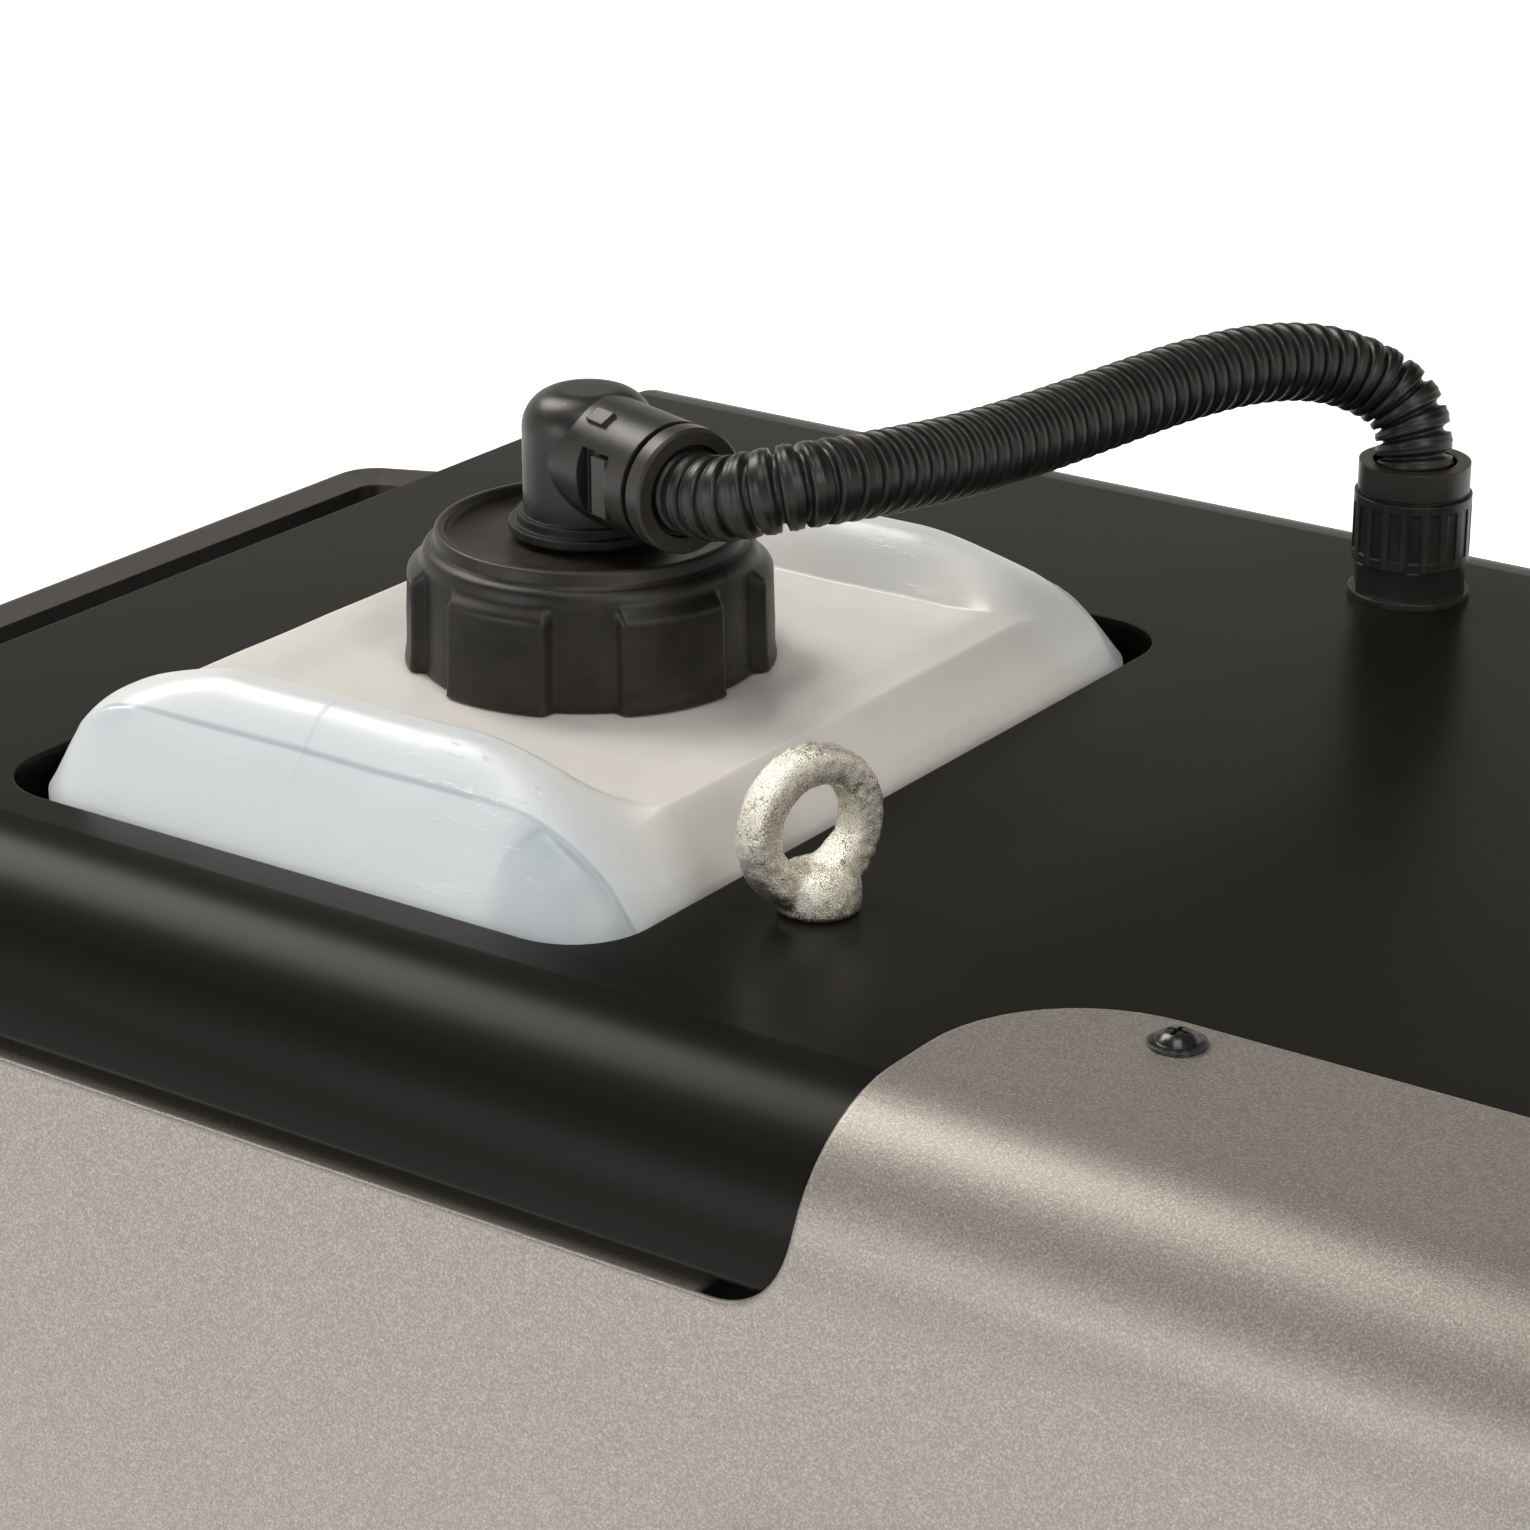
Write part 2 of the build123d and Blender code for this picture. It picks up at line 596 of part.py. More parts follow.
EYE_RING_Z = EYE_TOP - EYE_RING_R - EYE_WIRE_R
EYE_SHANK_R = 3.0
EYE_FOOT = DECK_Z + FIT - EYE_RING_Z  # seat of the collar below the ring's centre
with BuildPart() as eye_at_origin:
    Torus(EYE_RING_R, EYE_WIRE_R, rotation=(90, 0, 0))
    with BuildSketch(Plane.XY.offset(EYE_FOOT)):
        Circle(6.8)
    with BuildSketch(Plane.XY.offset(-EYE_RING_R + 3.2)):
        Ellipse(5.6, 3.0)
    loft()
    with BuildSketch(Plane.XZ):
        Circle(EYE_RING_R - EYE_WIRE_R)
    extrude(amount=8, both=True, mode=Mode.SUBTRACT)
    with BuildSketch(Plane.XY.offset(EYE_FOOT)):
        Circle(EYE_SHANK_R)
    extrude(amount=-22)
with BuildPart() as eyebolt:
    seat = Location((0, EYE_Y, EYE_RING_Z), (0, 0, EYE_HEADING + 90))
    add(eye_at_origin.part.moved(seat))
pieces["eyebolt"] = eyebolt

# --- base, wheels and stand -----------------------------------------------------------------------------
with BuildPart() as base_pan:
    pan_x, pan_y, pan_rim = PANEL_X - SHEET - 0.2, BACK_Y - SHEET - 0.3, FLOOR_Z + 28
    with BuildSketch(Plane.XY.offset(FLOOR_Z)):
        RectangleRounded(2 * pan_x, 2 * pan_y, 6)
    extrude(amount=pan_rim - FLOOR_Z)
    with BuildSketch(Plane.XY.offset(PAN_TOP)):
        RectangleRounded(2 * (pan_x - SHEET), 2 * (pan_y - SHEET), 4.5)
    extrude(amount=pan_rim - PAN_TOP, mode=Mode.SUBTRACT)
    with BuildSketch(Plane.XZ.offset(-BACK_Y - 1)):
        with Locations((-120, 120)):
            Rectangle(40, 60)
    extrude(amount=10, mode=Mode.SUBTRACT)
pieces["base_pan"] = base_pan

with BuildPart() as axle:
    with Locations((WHEEL_X, 0, WHEEL_R)):
        Cylinder(AXLE_R, 2 * AXLE_HALF, rotation=(90, 0, 0))
    chamfer(axle.edges(), 0.8)
pieces["axle"] = axle

with BuildPart() as axle_saddles:
    for side in (-1, 1):
        add(flat_box((WHEEL_X - 22, side * 120 - 14, FLOOR_Z - 3 - FIT), (WHEEL_X + 22, side * 120 + 14, FLOOR_Z - FIT)))
        add(flat_box((WHEEL_X - 11, side * 120 - 14, 52), (WHEEL_X + 11, side * 120 + 14, FLOOR_Z - 3)))
    with Locations((WHEEL_X, 0, WHEEL_R)):
        Cylinder(AXLE_R + 0.02, 300, rotation=(90, 0, 0), mode=Mode.SUBTRACT)
pieces["axle_saddles"] = axle_saddles

HUB_RIM_R = 47.0
for side, name in ((-1, "front"), (1, "back")):
    hub_plane = Plane(origin=(WHEEL_X, side * WHEEL_Y, WHEEL_R), z_dir=(0, side, 0))
    with BuildPart(hub_plane) as tyre:
        Cylinder(WHEEL_R, WHEEL_W)
        fillet(tyre.edges().filter_by(GeomType.CIRCLE), 6)
        Cylinder(HUB_RIM_R + 0.02, WHEEL_W + 2, mode=Mode.SUBTRACT)
    pieces[f"{name}_tyre"] = tyre
    with BuildPart(hub_plane) as hub:
        Cylinder(HUB_RIM_R, WHEEL_W - 4)
        Cylinder(HUB_RIM_R - 4, WHEEL_W, mode=Mode.SUBTRACT)
        Cylinder(14, WHEEL_W)
        with PolarLocations(28, 6):
            Box(32, 9, WHEEL_W - 12)
        Cylinder(AXLE_R + RUN, WHEEL_W + 2, mode=Mode.SUBTRACT)
    pieces[f"{name}_hub"] = hub

with BuildPart() as axle_caps:
    for side in (-1, 1):
        outer_face = WHEEL_Y + WHEEL_W / 2 + 0.4
        with BuildSketch(Plane.XZ.offset(side * outer_face)):
            with Locations((WHEEL_X, WHEEL_R)):
                Circle(11)
        extrude(amount=side * 3.6)
    fillet(axle_caps.edges().group_by(Axis.Y)[0] + axle_caps.edges().group_by(Axis.Y)[-1], 1.5)
    with Locations((WHEEL_X, 0, WHEEL_R)):
        Cylinder(AXLE_R + 0.02, 2 * AXLE_HALF + 0.1, rotation=(90, 0, 0), mode=Mode.SUBTRACT)
pieces["axle_caps"] = axle_caps

with BuildPart() as stand_leg:
    add(flat_box((LEG_X - 22, -130, 8), (LEG_X + 22, 130, FLOOR_Z - FIT)))
    add(flat_box((LEG_X - 20, -131, 10), (LEG_X + 20, 131, FLOOR_Z)), mode=Mode.SUBTRACT)
    for side in (-1, 1):
        rim_x = LEG_X + side * 28
        add(flat_box((rim_x - 6.5, -130, FLOOR_Z - FIT - 2), (rim_x + 6.5, 130, FLOOR_Z - FIT)))
pieces["stand_leg"] = stand_leg

with BuildPart() as rubber_feet:
    for side in (-1, 1):
        with BuildSketch(Plane.XY):
            with Locations((LEG_X, side * 105)):
                Circle(17)
        extrude(amount=8 - FIT)
    chamfer(rubber_feet.edges().group_by(Axis.Z)[0], 1.5)
pieces["rubber_feet"] = rubber_feet

# --- inner sheet parts ----------------------------------------------------------------------------------
DIVIDER_HOLES = ((75.0, 440.0), (125.0, 430.0), (75.0, 150.0), (140.0, 330.0), (130.0, 114.0))
with BuildPart() as divider:
    with BuildSketch(Plane.YZ.offset(DIVIDER_X)):
        with BuildLine():
            divider_edge = FilletPolyline(
                (FRONT_Y + 4, PAN_TOP + FIT),
                (FRONT_Y + 4, APRON_Z - 4),
                (FRONT_Y + 16, APRON_Z - 4),
                (FRONT_Y + 34, DECK_UNDER - 8),
                (BACK_Y - 34, DECK_UNDER - 8),
                (BACK_Y - 4, DECK_UNDER - 34),
                (BACK_Y - 4, PAN_TOP + FIT),
                radius=2,
            )
            Line(divider_edge @ 1, divider_edge @ 0)
        make_face()
        with Locations(*DIVIDER_HOLES):
            Circle(6.5, mode=Mode.SUBTRACT)
    extrude(amount=THIN)
pieces["divider"] = divider

BULKHEAD_Y = -101.5
with BuildPart() as fan_bulkhead:
    add(flat_box((DIVIDER_X + 2, BULKHEAD_Y, PAN_TOP + FIT), (PANEL_X - SHEET - 2, BULKHEAD_Y + THIN, 545)))
    with BuildSketch(Plane.XZ.offset(-BULKHEAD_Y)):
        with Locations((AIR_X, AIR_Z)):
            Circle(FAN_R + 3)
    extrude(amount=-34)
    with BuildSketch(Plane.XZ.offset(-BULKHEAD_Y + 1)):
        with Locations((AIR_X, AIR_Z)):
            Circle(FAN_R + 1.8)
    extrude(amount=-40, mode=Mode.SUBTRACT)
pieces["fan_bulkhead"] = fan_bulkhead

with BuildPart() as inner_brackets:
    # strap that carries the fan motor
    strap_z = AIR_Z - 85, AIR_Z + 85
    add(flat_box((AIR_X - 14, -60, strap_z[0]), (AIR_X + 14, -58, strap_z[1])))
    for arm_z in strap_z:
        add(flat_box((AIR_X - 14, BULKHEAD_Y + THIN + FIT, arm_z - 1), (AIR_X + 14, -58, arm_z + 1)))
    with Locations((AIR_X, -59, AIR_Z)):
        Cylinder(10, 10, rotation=(90, 0, 0), mode=Mode.SUBTRACT)
    # plate and nut under the lifting eye
    add(flat_box((-11, EYE_Y - 20, DECK_UNDER - FIT - 4), (14, EYE_Y + 20, DECK_UNDER - FIT)))
    with BuildSketch(Plane.XY.offset(DECK_UNDER - 10)):
        with Locations((0, EYE_Y)):
            RegularPolygon(5.8, 6)
    extrude(amount=5.2)
    with Locations((0, EYE_Y, DECK_UNDER - 4)):
        Cylinder(EYE_SHANK_R + 0.05, 20, mode=Mode.SUBTRACT)
    # stands under the drip tray
    for x in (40, 180):
        add(flat_box((x - 8, 50, PAN_TOP + FIT), (x + 8, 150, PAN_TOP + FIT + THIN)))
        for y in (56, 144):
            add(flat_box((x - 8, y - 1, PAN_TOP + FIT), (x + 8, y + 1, TRAY_Z - FIT)))
pieces["inner_brackets"] = inner_brackets

with BuildPart() as fan_motor:
    with BuildSketch(Plane.XZ.offset(58 - FIT)):
        with Locations((AIR_X, AIR_Z)):
            Circle(36)
    extrude(amount=-44)
    fillet(fan_motor.edges(), 4)
    with Locations((AIR_X, -58 + 10, AIR_Z)):
        Cylinder(4 + RUN, 24, rotation=(90, 0, 0), mode=Mode.SUBTRACT)
pieces["fan_motor"] = fan_motor

FAN_PLANE = Plane(origin=(AIR_X, FAN_Y, AIR_Z), z_dir=(0, -1, 0))
with BuildPart(FAN_PLANE) as fan_impeller:
    with PolarLocations(44, 5):
        Box(58, 2.4, 34, rotation=(52, 0, 0))
    Cylinder(FAN_R, 40, mode=Mode.INTERSECT)
    Cylinder(20, 26)
    Cylinder(4 + 0.02, 60, mode=Mode.SUBTRACT)
pieces["fan_impeller"] = fan_impeller

with BuildPart() as fan_shaft:
    with Locations((AIR_X, -69, AIR_Z)):
        Cylinder(4, 50, rotation=(90, 0, 0))
pieces["fan_shaft"] = fan_shaft

with BuildPart() as outlet_grille:
    with BuildSketch(Plane.XZ.offset(-PANEL_FACE + FIT)) as grille_face:
        with Locations((AIR_X, AIR_Z)):
            Circle(OUTLET_R + 8)
            Circle(OUTLET_R - 2, mode=Mode.SUBTRACT)
            for ring in range(7, 0, -1):
                Circle(ring * 10 + 1.4)
                Circle(ring * 10 - 1.4, mode=Mode.SUBTRACT)
            Circle(10)
            with PolarLocations(44, 6):
                Rectangle(72, 3.2)
    extrude(amount=3.2)
    fillet(outlet_grille.faces().sort_by(Axis.Y)[0].outer_wire().edges(), 1.4)
pieces["outlet_grille"] = outlet_grille

# --- cold circuit ---------------------------------------------------------------------------------------
def fin_coil(middle_y):
    """A finned coil: parallel fins on two columns of tubes, between two end plates."""
    with BuildPart() as coil:
        with BuildSketch(Plane.XY.offset(COIL_BOTTOM)):
            with Locations((COIL_LEFT + COIL_W / 2, middle_y)):
                with GridLocations(6, 1, 28, 1):
                    Rectangle(0.8, COIL_DEPTH)
                with GridLocations(COIL_W - 2, 1, 2, 1):
                    Rectangle(2, COIL_DEPTH)
        extrude(amount=COIL_H)
        with BuildSketch(Plane.YZ.offset(COIL_LEFT)):
            with Locations((middle_y, COIL_BOTTOM + COIL_H / 2)):
                with GridLocations(20, 42, 2, 8):
                    Circle(4.8)
        extrude(amount=COIL_W)
    return coil


pieces["evaporator"] = fin_coil(EVAPORATOR_Y)
pieces["condenser"] = fin_coil(CONDENSER_Y)

with BuildPart() as drip_tray:
    add(flat_box((DIVIDER_X + 3, 48, TRAY_Z), (200, 152, TRAY_Z + 17)))
    add(flat_box((DIVIDER_X + 4.5, 49.5, TRAY_Z + 1.5), (198.5, 150.5, 130)), mode=Mode.SUBTRACT)
    with BuildSketch(Plane.YZ.offset(DIVIDER_X + 4)):
        with Locations((130, 114)):
            Circle(4.2)
    extrude(amount=-14)
    with BuildSketch(Plane.YZ.offset(DIVIDER_X + 5)):
        with Locations((130, 114)):
            Circle(3.2)
    extrude(amount=-18, mode=Mode.SUBTRACT)
pieces["drip_tray"] = drip_tray

with BuildPart() as compressor:
    with BuildSketch(Plane.XY.offset(94)):
        Circle(52)
    extrude(amount=182)
    fillet(compressor.edges().sort_by(Axis.Z)[-1], 30)
    with BuildSketch(Plane.XY.offset(178)):
        Circle(54)
    extrude(amount=6)
    add(flat_box((-62, -46, 92), (62, 46, 96)))
    with Locations(*[(x, y, 94) for x in (-52, 52) for y in (-36, 36)]):
        Cylinder(6.5, 6, mode=Mode.SUBTRACT)
    with Locations((20, 0, 272)):
        Cylinder(PIPE_R + 1, 20)
    with Locations((20, 0, 274)):
        Cylinder(PIPE_R, 24, mode=Mode.SUBTRACT)
with BuildPart() as hermetic_compressor:
    add(compressor.part.moved(Location((COMPRESSOR_X, COMPRESSOR_Y, 0))))
pieces["compressor"] = hermetic_compressor

GROMMETS = [(COMPRESSOR_X + x, COMPRESSOR_Y + y) for x in (-52, 52) for y in (-36, 36)]
with BuildPart() as grommets:
    with BuildSketch(Plane.XY.offset(PAN_TOP + FIT)):
        with Locations(*GROMMETS):
            Circle(11)
            Circle(3.2, mode=Mode.SUBTRACT)
    extrude(amount=92 - PAN_TOP - 2 * FIT)
    with BuildSketch(Plane.XY.offset(92 - 2 * FIT)):
        with Locations(*GROMMETS):
            Circle(6.4)
            Circle(3.2, mode=Mode.SUBTRACT)
    extrude(amount=6)
pieces["grommets"] = grommets

with BuildPart() as terminal_cover:
    add(flat_box((COMPRESSOR_X - 20, COMPRESSOR_Y - 76, 180), (COMPRESSOR_X + 20, COMPRESSOR_Y - 38, 232)))
    with Locations((COMPRESSOR_X, COMPRESSOR_Y, 200)):
        Cylinder(54.2, 200, mode=Mode.SUBTRACT)
    fillet(terminal_cover.edges().filter_by(Axis.Z).sort_by(Axis.Y)[:2], 4)
pieces["terminal_cover"] = terminal_cover

with BuildPart() as accumulator:
    with BuildSketch(Plane.XY.offset(130)):
        with Locations((ACCUMULATOR_X, ACCUMULATOR_Y)):
            Circle(20)
    extrude(amount=110)
    fillet(accumulator.edges().filter_by(GeomType.CIRCLE), 12)
    with Locations((ACCUMULATOR_X, ACCUMULATOR_Y, 240)):
        Cylinder(PIPE_R, 12, mode=Mode.SUBTRACT)
    with Locations((ACCUMULATOR_X, ACCUMULATOR_Y, 130)):
        Cylinder(PIPE_R, 12, mode=Mode.SUBTRACT)
pieces["accumulator"] = accumulator

COMPRESSOR_TOP = (COMPRESSOR_X + 20, COMPRESSOR_Y)
discharge_route = [
    (*COMPRESSOR_TOP, 262),
    (*COMPRESSOR_TOP, 300),
    (5, COMPRESSOR_Y, 300),
    (5, CONDENSER_Y, 300),
    (5, CONDENSER_Y, 440),
    (COIL_LEFT - FIT, CONDENSER_Y, 440),
]
suction_route = [
    (COIL_LEFT - FIT, EVAPORATOR_Y, 430),
    (-6, EVAPORATOR_Y, 430),
    (-6, EVAPORATOR_Y, 298),
    (ACCUMULATOR_X, EVAPORATOR_Y, 298),
    (ACCUMULATOR_X, ACCUMULATOR_Y, 298),
    (ACCUMULATOR_X, ACCUMULATOR_Y, 234),
]
return_route = [
    (ACCUMULATOR_X, ACCUMULATOR_Y, 136),
    (ACCUMULATOR_X, ACCUMULATOR_Y, 108),
    (ACCUMULATOR_X, ACCUMULATOR_Y + 32, 108),
    (COMPRESSOR_X, ACCUMULATOR_Y + 32, 108),
    (COMPRESSOR_X, ACCUMULATOR_Y + 32, 150),
    (COMPRESSOR_X, COMPRESSOR_Y + 52.2, 150),
]

DRIER_X, DRIER_Y = -16.0, CONDENSER_Y
with BuildPart() as filter_drier:
    with BuildSketch(Plane.XY.offset(190)):
        with Locations((DRIER_X, DRIER_Y)):
            Circle(10)
    extrude(amount=70)
    fillet(filter_drier.edges().filter_by(GeomType.CIRCLE), 5)
    with Locations((DRIER_X, DRIER_Y, 225)):
        Cylinder(3.0, 80, mode=Mode.SUBTRACT)
pieces["filter_drier"] = filter_drier

liquid_route = [
    (COIL_LEFT - FIT, CONDENSER_Y, 150),
    (DRIER_X, CONDENSER_Y, 150),
    (DRIER_X, CONDENSER_Y, 200),
]
expansion_route = [
    (DRIER_X, DRIER_Y, 250),
    (DRIER_X, DRIER_Y, 330),
    (DRIER_X, 140, 330),
    (COIL_LEFT - FIT, 140, 330),
]
with BuildPart() as refrigerant_pipes:
    add(pipe(discharge_route, PIPE_R - FIT, 2.6, bend=7.0).part)
    add(pipe(suction_route, PIPE_R - FIT, 2.6, bend=10.0).part)
    add(pipe(return_route, PIPE_R - FIT, 2.6, bend=4.9).part)
    add(pipe(liquid_route, 3.0 - FIT, 2.0, bend=8.0).part)
    add(pipe(expansion_route, 3.0 - FIT, 1.5, bend=8.0).part)
pieces["refrigerant_pipes"] = refrigerant_pipes

# --- condensate pump ------------------------------------------------------------------------------------
with BuildPart() as sump:
    add(flat_box((SUMP_X - 29.5, SUMP_Y - 30, PAN_TOP + FIT), (SUMP_X + 29.5, SUMP_Y + 30, 106)))
    fillet(sump.edges().filter_by(Axis.Z), 5)
    with BuildSketch(Plane.XY.offset(PAN_TOP + 2)):
        with Locations((SUMP_X, SUMP_Y)):
            RectangleRounded(55, 56, 3)
    extrude(amount=40, mode=Mode.SUBTRACT)
pieces["sump"] = sump

FLOAT_X, FLOAT_Y = 0.0, 100.0
with BuildPart() as condensate_pump:
    add(flat_box((SUMP_X - 28, SUMP_Y - 29, 106 + FIT), (SUMP_X - 2, SUMP_Y + 29, 109)))
    with Locations((SUMP_X - 12, SUMP_Y, 132)):
        Cylinder(15, 46)
    with Locations((SUMP_X - 12, SUMP_Y, 98)):
        Cylinder(7, 24)
    with BuildSketch(Plane.YZ.offset(SUMP_X - 12)):
        with Locations((FITTING_Y, 140)):
            Circle(5)
    extrude(amount=FITTING_X - SUMP_X + 12)
    with BuildSketch(Plane.XY.offset(135)):
        with Locations((FITTING_X, FITTING_Y)):
            Circle(4.9)
    extrude(amount=25)
    with BuildSketch(Plane.XY.offset(138)):
        with Locations((FITTING_X, FITTING_Y)):
            Circle(3.4)
    extrude(amount=25, mode=Mode.SUBTRACT)
    # float switch on its arm
    add(flat_box((FLOAT_X - 7, FLOAT_Y - 7, 116), (FLOAT_X + 7, FLOAT_Y + 5, 130)))
    add(flat_box((SUMP_X - 4, FLOAT_Y - 7, 106 + FIT), (FLOAT_X - 6, FLOAT_Y - 3, 130)))
    with Locations((FLOAT_X, FLOAT_Y, 123)):
        Cylinder(1.5 + RUN, 20, mode=Mode.SUBTRACT)
pieces["condensate_pump"] = condensate_pump

with BuildPart() as float_body:
    with BuildSketch(Plane.XY.offset(78)):
        with Locations((FLOAT_X, FLOAT_Y)):
            Circle(6)
    extrude(amount=16)
    fillet(float_body.edges(), 2)
    with BuildSketch(Plane.XY.offset(92)):
        with Locations((FLOAT_X, FLOAT_Y)):
            Circle(1.5)
    extrude(amount=30)
pieces["float"] = float_body

with BuildPart() as inner_hose:
    with BuildSketch(Plane.XY.offset(146)):
        with Locations((FITTING_X, FITTING_Y)):
            Circle(6.5)
            Circle(5.0, mode=Mode.SUBTRACT)
    extrude(amount=DECK_Z - 16 - 146 - FIT)
pieces["inner_hose"] = inner_hose

# --- electrical box -------------------------------------------------------------------------------------
with BuildPart() as control_box:
    add(flat_box((-186, -100, 112), (-40, -58, 168)))
    add(flat_box((-184, -101, 114), (-42, -60, 166)), mode=Mode.SUBTRACT)
    for x in (-170, -56):
        add(flat_box((x - 6, -60, PAN_TOP + FIT), (x + 6, -58, 113)))
        add(flat_box((x - 6, -84, PAN_TOP + FIT), (x + 6, -58, PAN_TOP + FIT + 2)))
pieces["control_box"] = control_box

with BuildPart() as control_box_lid:
    add(flat_box((-188, -102.2, 110), (-38, -100.2, 170)))
pieces["control_box_lid"] = control_box_lid

with BuildPart() as circuit_board:
    add(flat_box((-180, -66, 118), (-90, -64.4, 162)))
    for x, y_depth, height in ((-165, 14, 20), (-140, 10, 12), (-115, 16, 24)):
        add(flat_box((x - 8, -66 - y_depth, 140 - height / 2), (x + 8, -65, 140 + height / 2)))
    # run capacitor of the compressor beside the board
    with BuildSketch(Plane.XZ.offset(66)):
        with Locations((-64, 140)):
            Circle(16)
    extrude(amount=30)
pieces["circuit_board"] = circuit_board

with BuildPart() as mains_inlet:
    with BuildSketch(Plane.XZ.offset(-BACK_Y - 3)):
        with Locations((-120, 120)):
            RectangleRounded(48, 28, 4)
    extrude(amount=3 - FIT)
    with BuildSketch(Plane.XZ.offset(-BACK_Y - 1)):
        with Locations((-120, 120)):
            Rectangle(27, 20)
    extrude(amount=26)
    with BuildSketch(Plane.XZ.offset(-BACK_Y - 3)):
        with Locations((-120, 120)):
            Rectangle(24, 16)
    extrude(amount=16, mode=Mode.SUBTRACT)
    with BuildSketch(Plane.XZ.offset(-BACK_Y + 14)):
        with Locations((-127, 118), (-120, 122), (-113, 118)):
            Rectangle(2, 4)
    extrude(amount=-12)
pieces["mains_inlet"] = mains_inlet

# --- control panel --------------------------------------------------------------------------------------
with BuildPart() as control_panel:
    plate_y = -PANEL_FACE + FIT
    with BuildSketch(Plane.XZ.offset(plate_y)):
        with Locations((AIR_X, CONTROL_Z)):
            RectangleRounded(154, 74, 7)
    extrude(amount=3)
    chamfer(control_panel.faces().sort_by(Axis.Y)[0].outer_wire().edges(), 1)
    with BuildSketch(Plane.XZ.offset(plate_y)):
        with Locations((AIR_X, CONTROL_Z)):
            RectangleRounded(138, 58, 4)
            RectangleRounded(134, 54, 3, mode=Mode.SUBTRACT)
    extrude(amount=-16)
    with BuildSketch(Plane.XZ.offset(plate_y - 1)):
        with Locations((KNOB_X, CONTROL_Z)):
            Circle(4)
        with Locations((ROCKER_X, CONTROL_Z)):
            Rectangle(13, 27)
        with Locations((BUTTON_X, CONTROL_Z - 14)):
            Circle(6.2)
        with Locations((AIR_X - 6, CONTROL_Z + 12)):
            Rectangle(30, 15)
        with Locations(*[(BUTTON_X, CONTROL_Z + z) for z in (8, 20)]):
            Circle(3.6)
    extrude(amount=6, mode=Mode.SUBTRACT)
pieces["control_panel"] = control_panel

with BuildPart() as humidistat_knob:
    with BuildSketch(Plane.XZ.offset(-CONTROL_FACE + 0.4)):
        with Locations((KNOB_X, CONTROL_Z)):
            Circle(18)
    extrude(amount=4)
    with BuildSketch(Plane.XZ.offset(-CONTROL_FACE + 4.4)):
        with Locations((KNOB_X, CONTROL_Z)):
            Circle(15.5)
            with PolarLocations(16.6, 12):
                Circle(2.2, mode=Mode.SUBTRACT)
    extrude(amount=11)
    fillet(humidistat_knob.faces().sort_by(Axis.Y)[0].outer_wire().edges(), 0.8)
    with BuildSketch(Plane.XZ.offset(-CONTROL_FACE + 15)):
        with Locations((KNOB_X, CONTROL_Z + 8)):
            Rectangle(1.8, 12)
    extrude(amount=1.4)
    with BuildSketch(Plane.XZ.offset(-CONTROL_FACE + 1)):
        with Locations((KNOB_X, CONTROL_Z)):
            Circle(3)
    extrude(amount=-14)
pieces["humidistat_knob"] = humidistat_knob

with BuildPart() as control_bodies:
    # humidistat, switch and button bodies behind the panel
    add(flat_box((KNOB_X - 16, -161, CONTROL_Z - 16), (KNOB_X + 16, -136, CONTROL_Z + 16)))
    with Locations((KNOB_X, -161, CONTROL_Z)):
        Cylinder(3 + RUN, 24, rotation=(90, 0, 0), mode=Mode.SUBTRACT)
    add(flat_box((ROCKER_X - 7, -161, CONTROL_Z - 14), (ROCKER_X + 7, -140, CONTROL_Z + 14)))
    add(flat_box((BUTTON_X - 7, -161, CONTROL_Z - 21), (BUTTON_X + 7, -142, CONTROL_Z - 7)))
pieces["control_bodies"] = control_bodies

with BuildPart() as power_rocker:
    with BuildSketch(Plane.YZ.offset(ROCKER_X - 5.8)) as rocker_side:
        with Locations(Location((CONTROL_FACE + 1.4, CONTROL_Z), -ROCKER_TILT)):
            Rectangle(8, 24)
            with Locations((-8, 0)):
                Circle(6.4, mode=Mode.SUBTRACT)
    extrude(amount=11.6)
pieces["power_rocker"] = power_rocker

with BuildPart() as test_button:
    with BuildSketch(Plane.XZ.offset(164)):
        with Locations((BUTTON_X, CONTROL_Z - 14)):
            Circle(6)
    extrude(amount=-CONTROL_FACE + 3.4 - 164)
    fillet(test_button.faces().sort_by(Axis.Y)[0].edges(), 0.8)
pieces["test_button"] = test_button

with BuildPart() as indicators:
    # two signal lamps and the hour counter
    with BuildSketch(Plane.XZ.offset(162)):
        with Locations(*[(BUTTON_X, CONTROL_Z + z) for z in (8, 20)]):
            Circle(3.5)
    extrude(amount=-CONTROL_FACE + 1.6 - 162)
    fillet(indicators.edges().group_by(Axis.Y)[0], 1.5)
    add(flat_box((AIR_X - 20.8, -168.4, CONTROL_Z + 4.6), (AIR_X + 8.8, -140, CONTROL_Z + 19.4)))
    add(flat_box((AIR_X - 18, -170, CONTROL_Z + 7), (AIR_X + 6, -167.6, CONTROL_Z + 17)), mode=Mode.SUBTRACT)
pieces["indicators"] = indicators

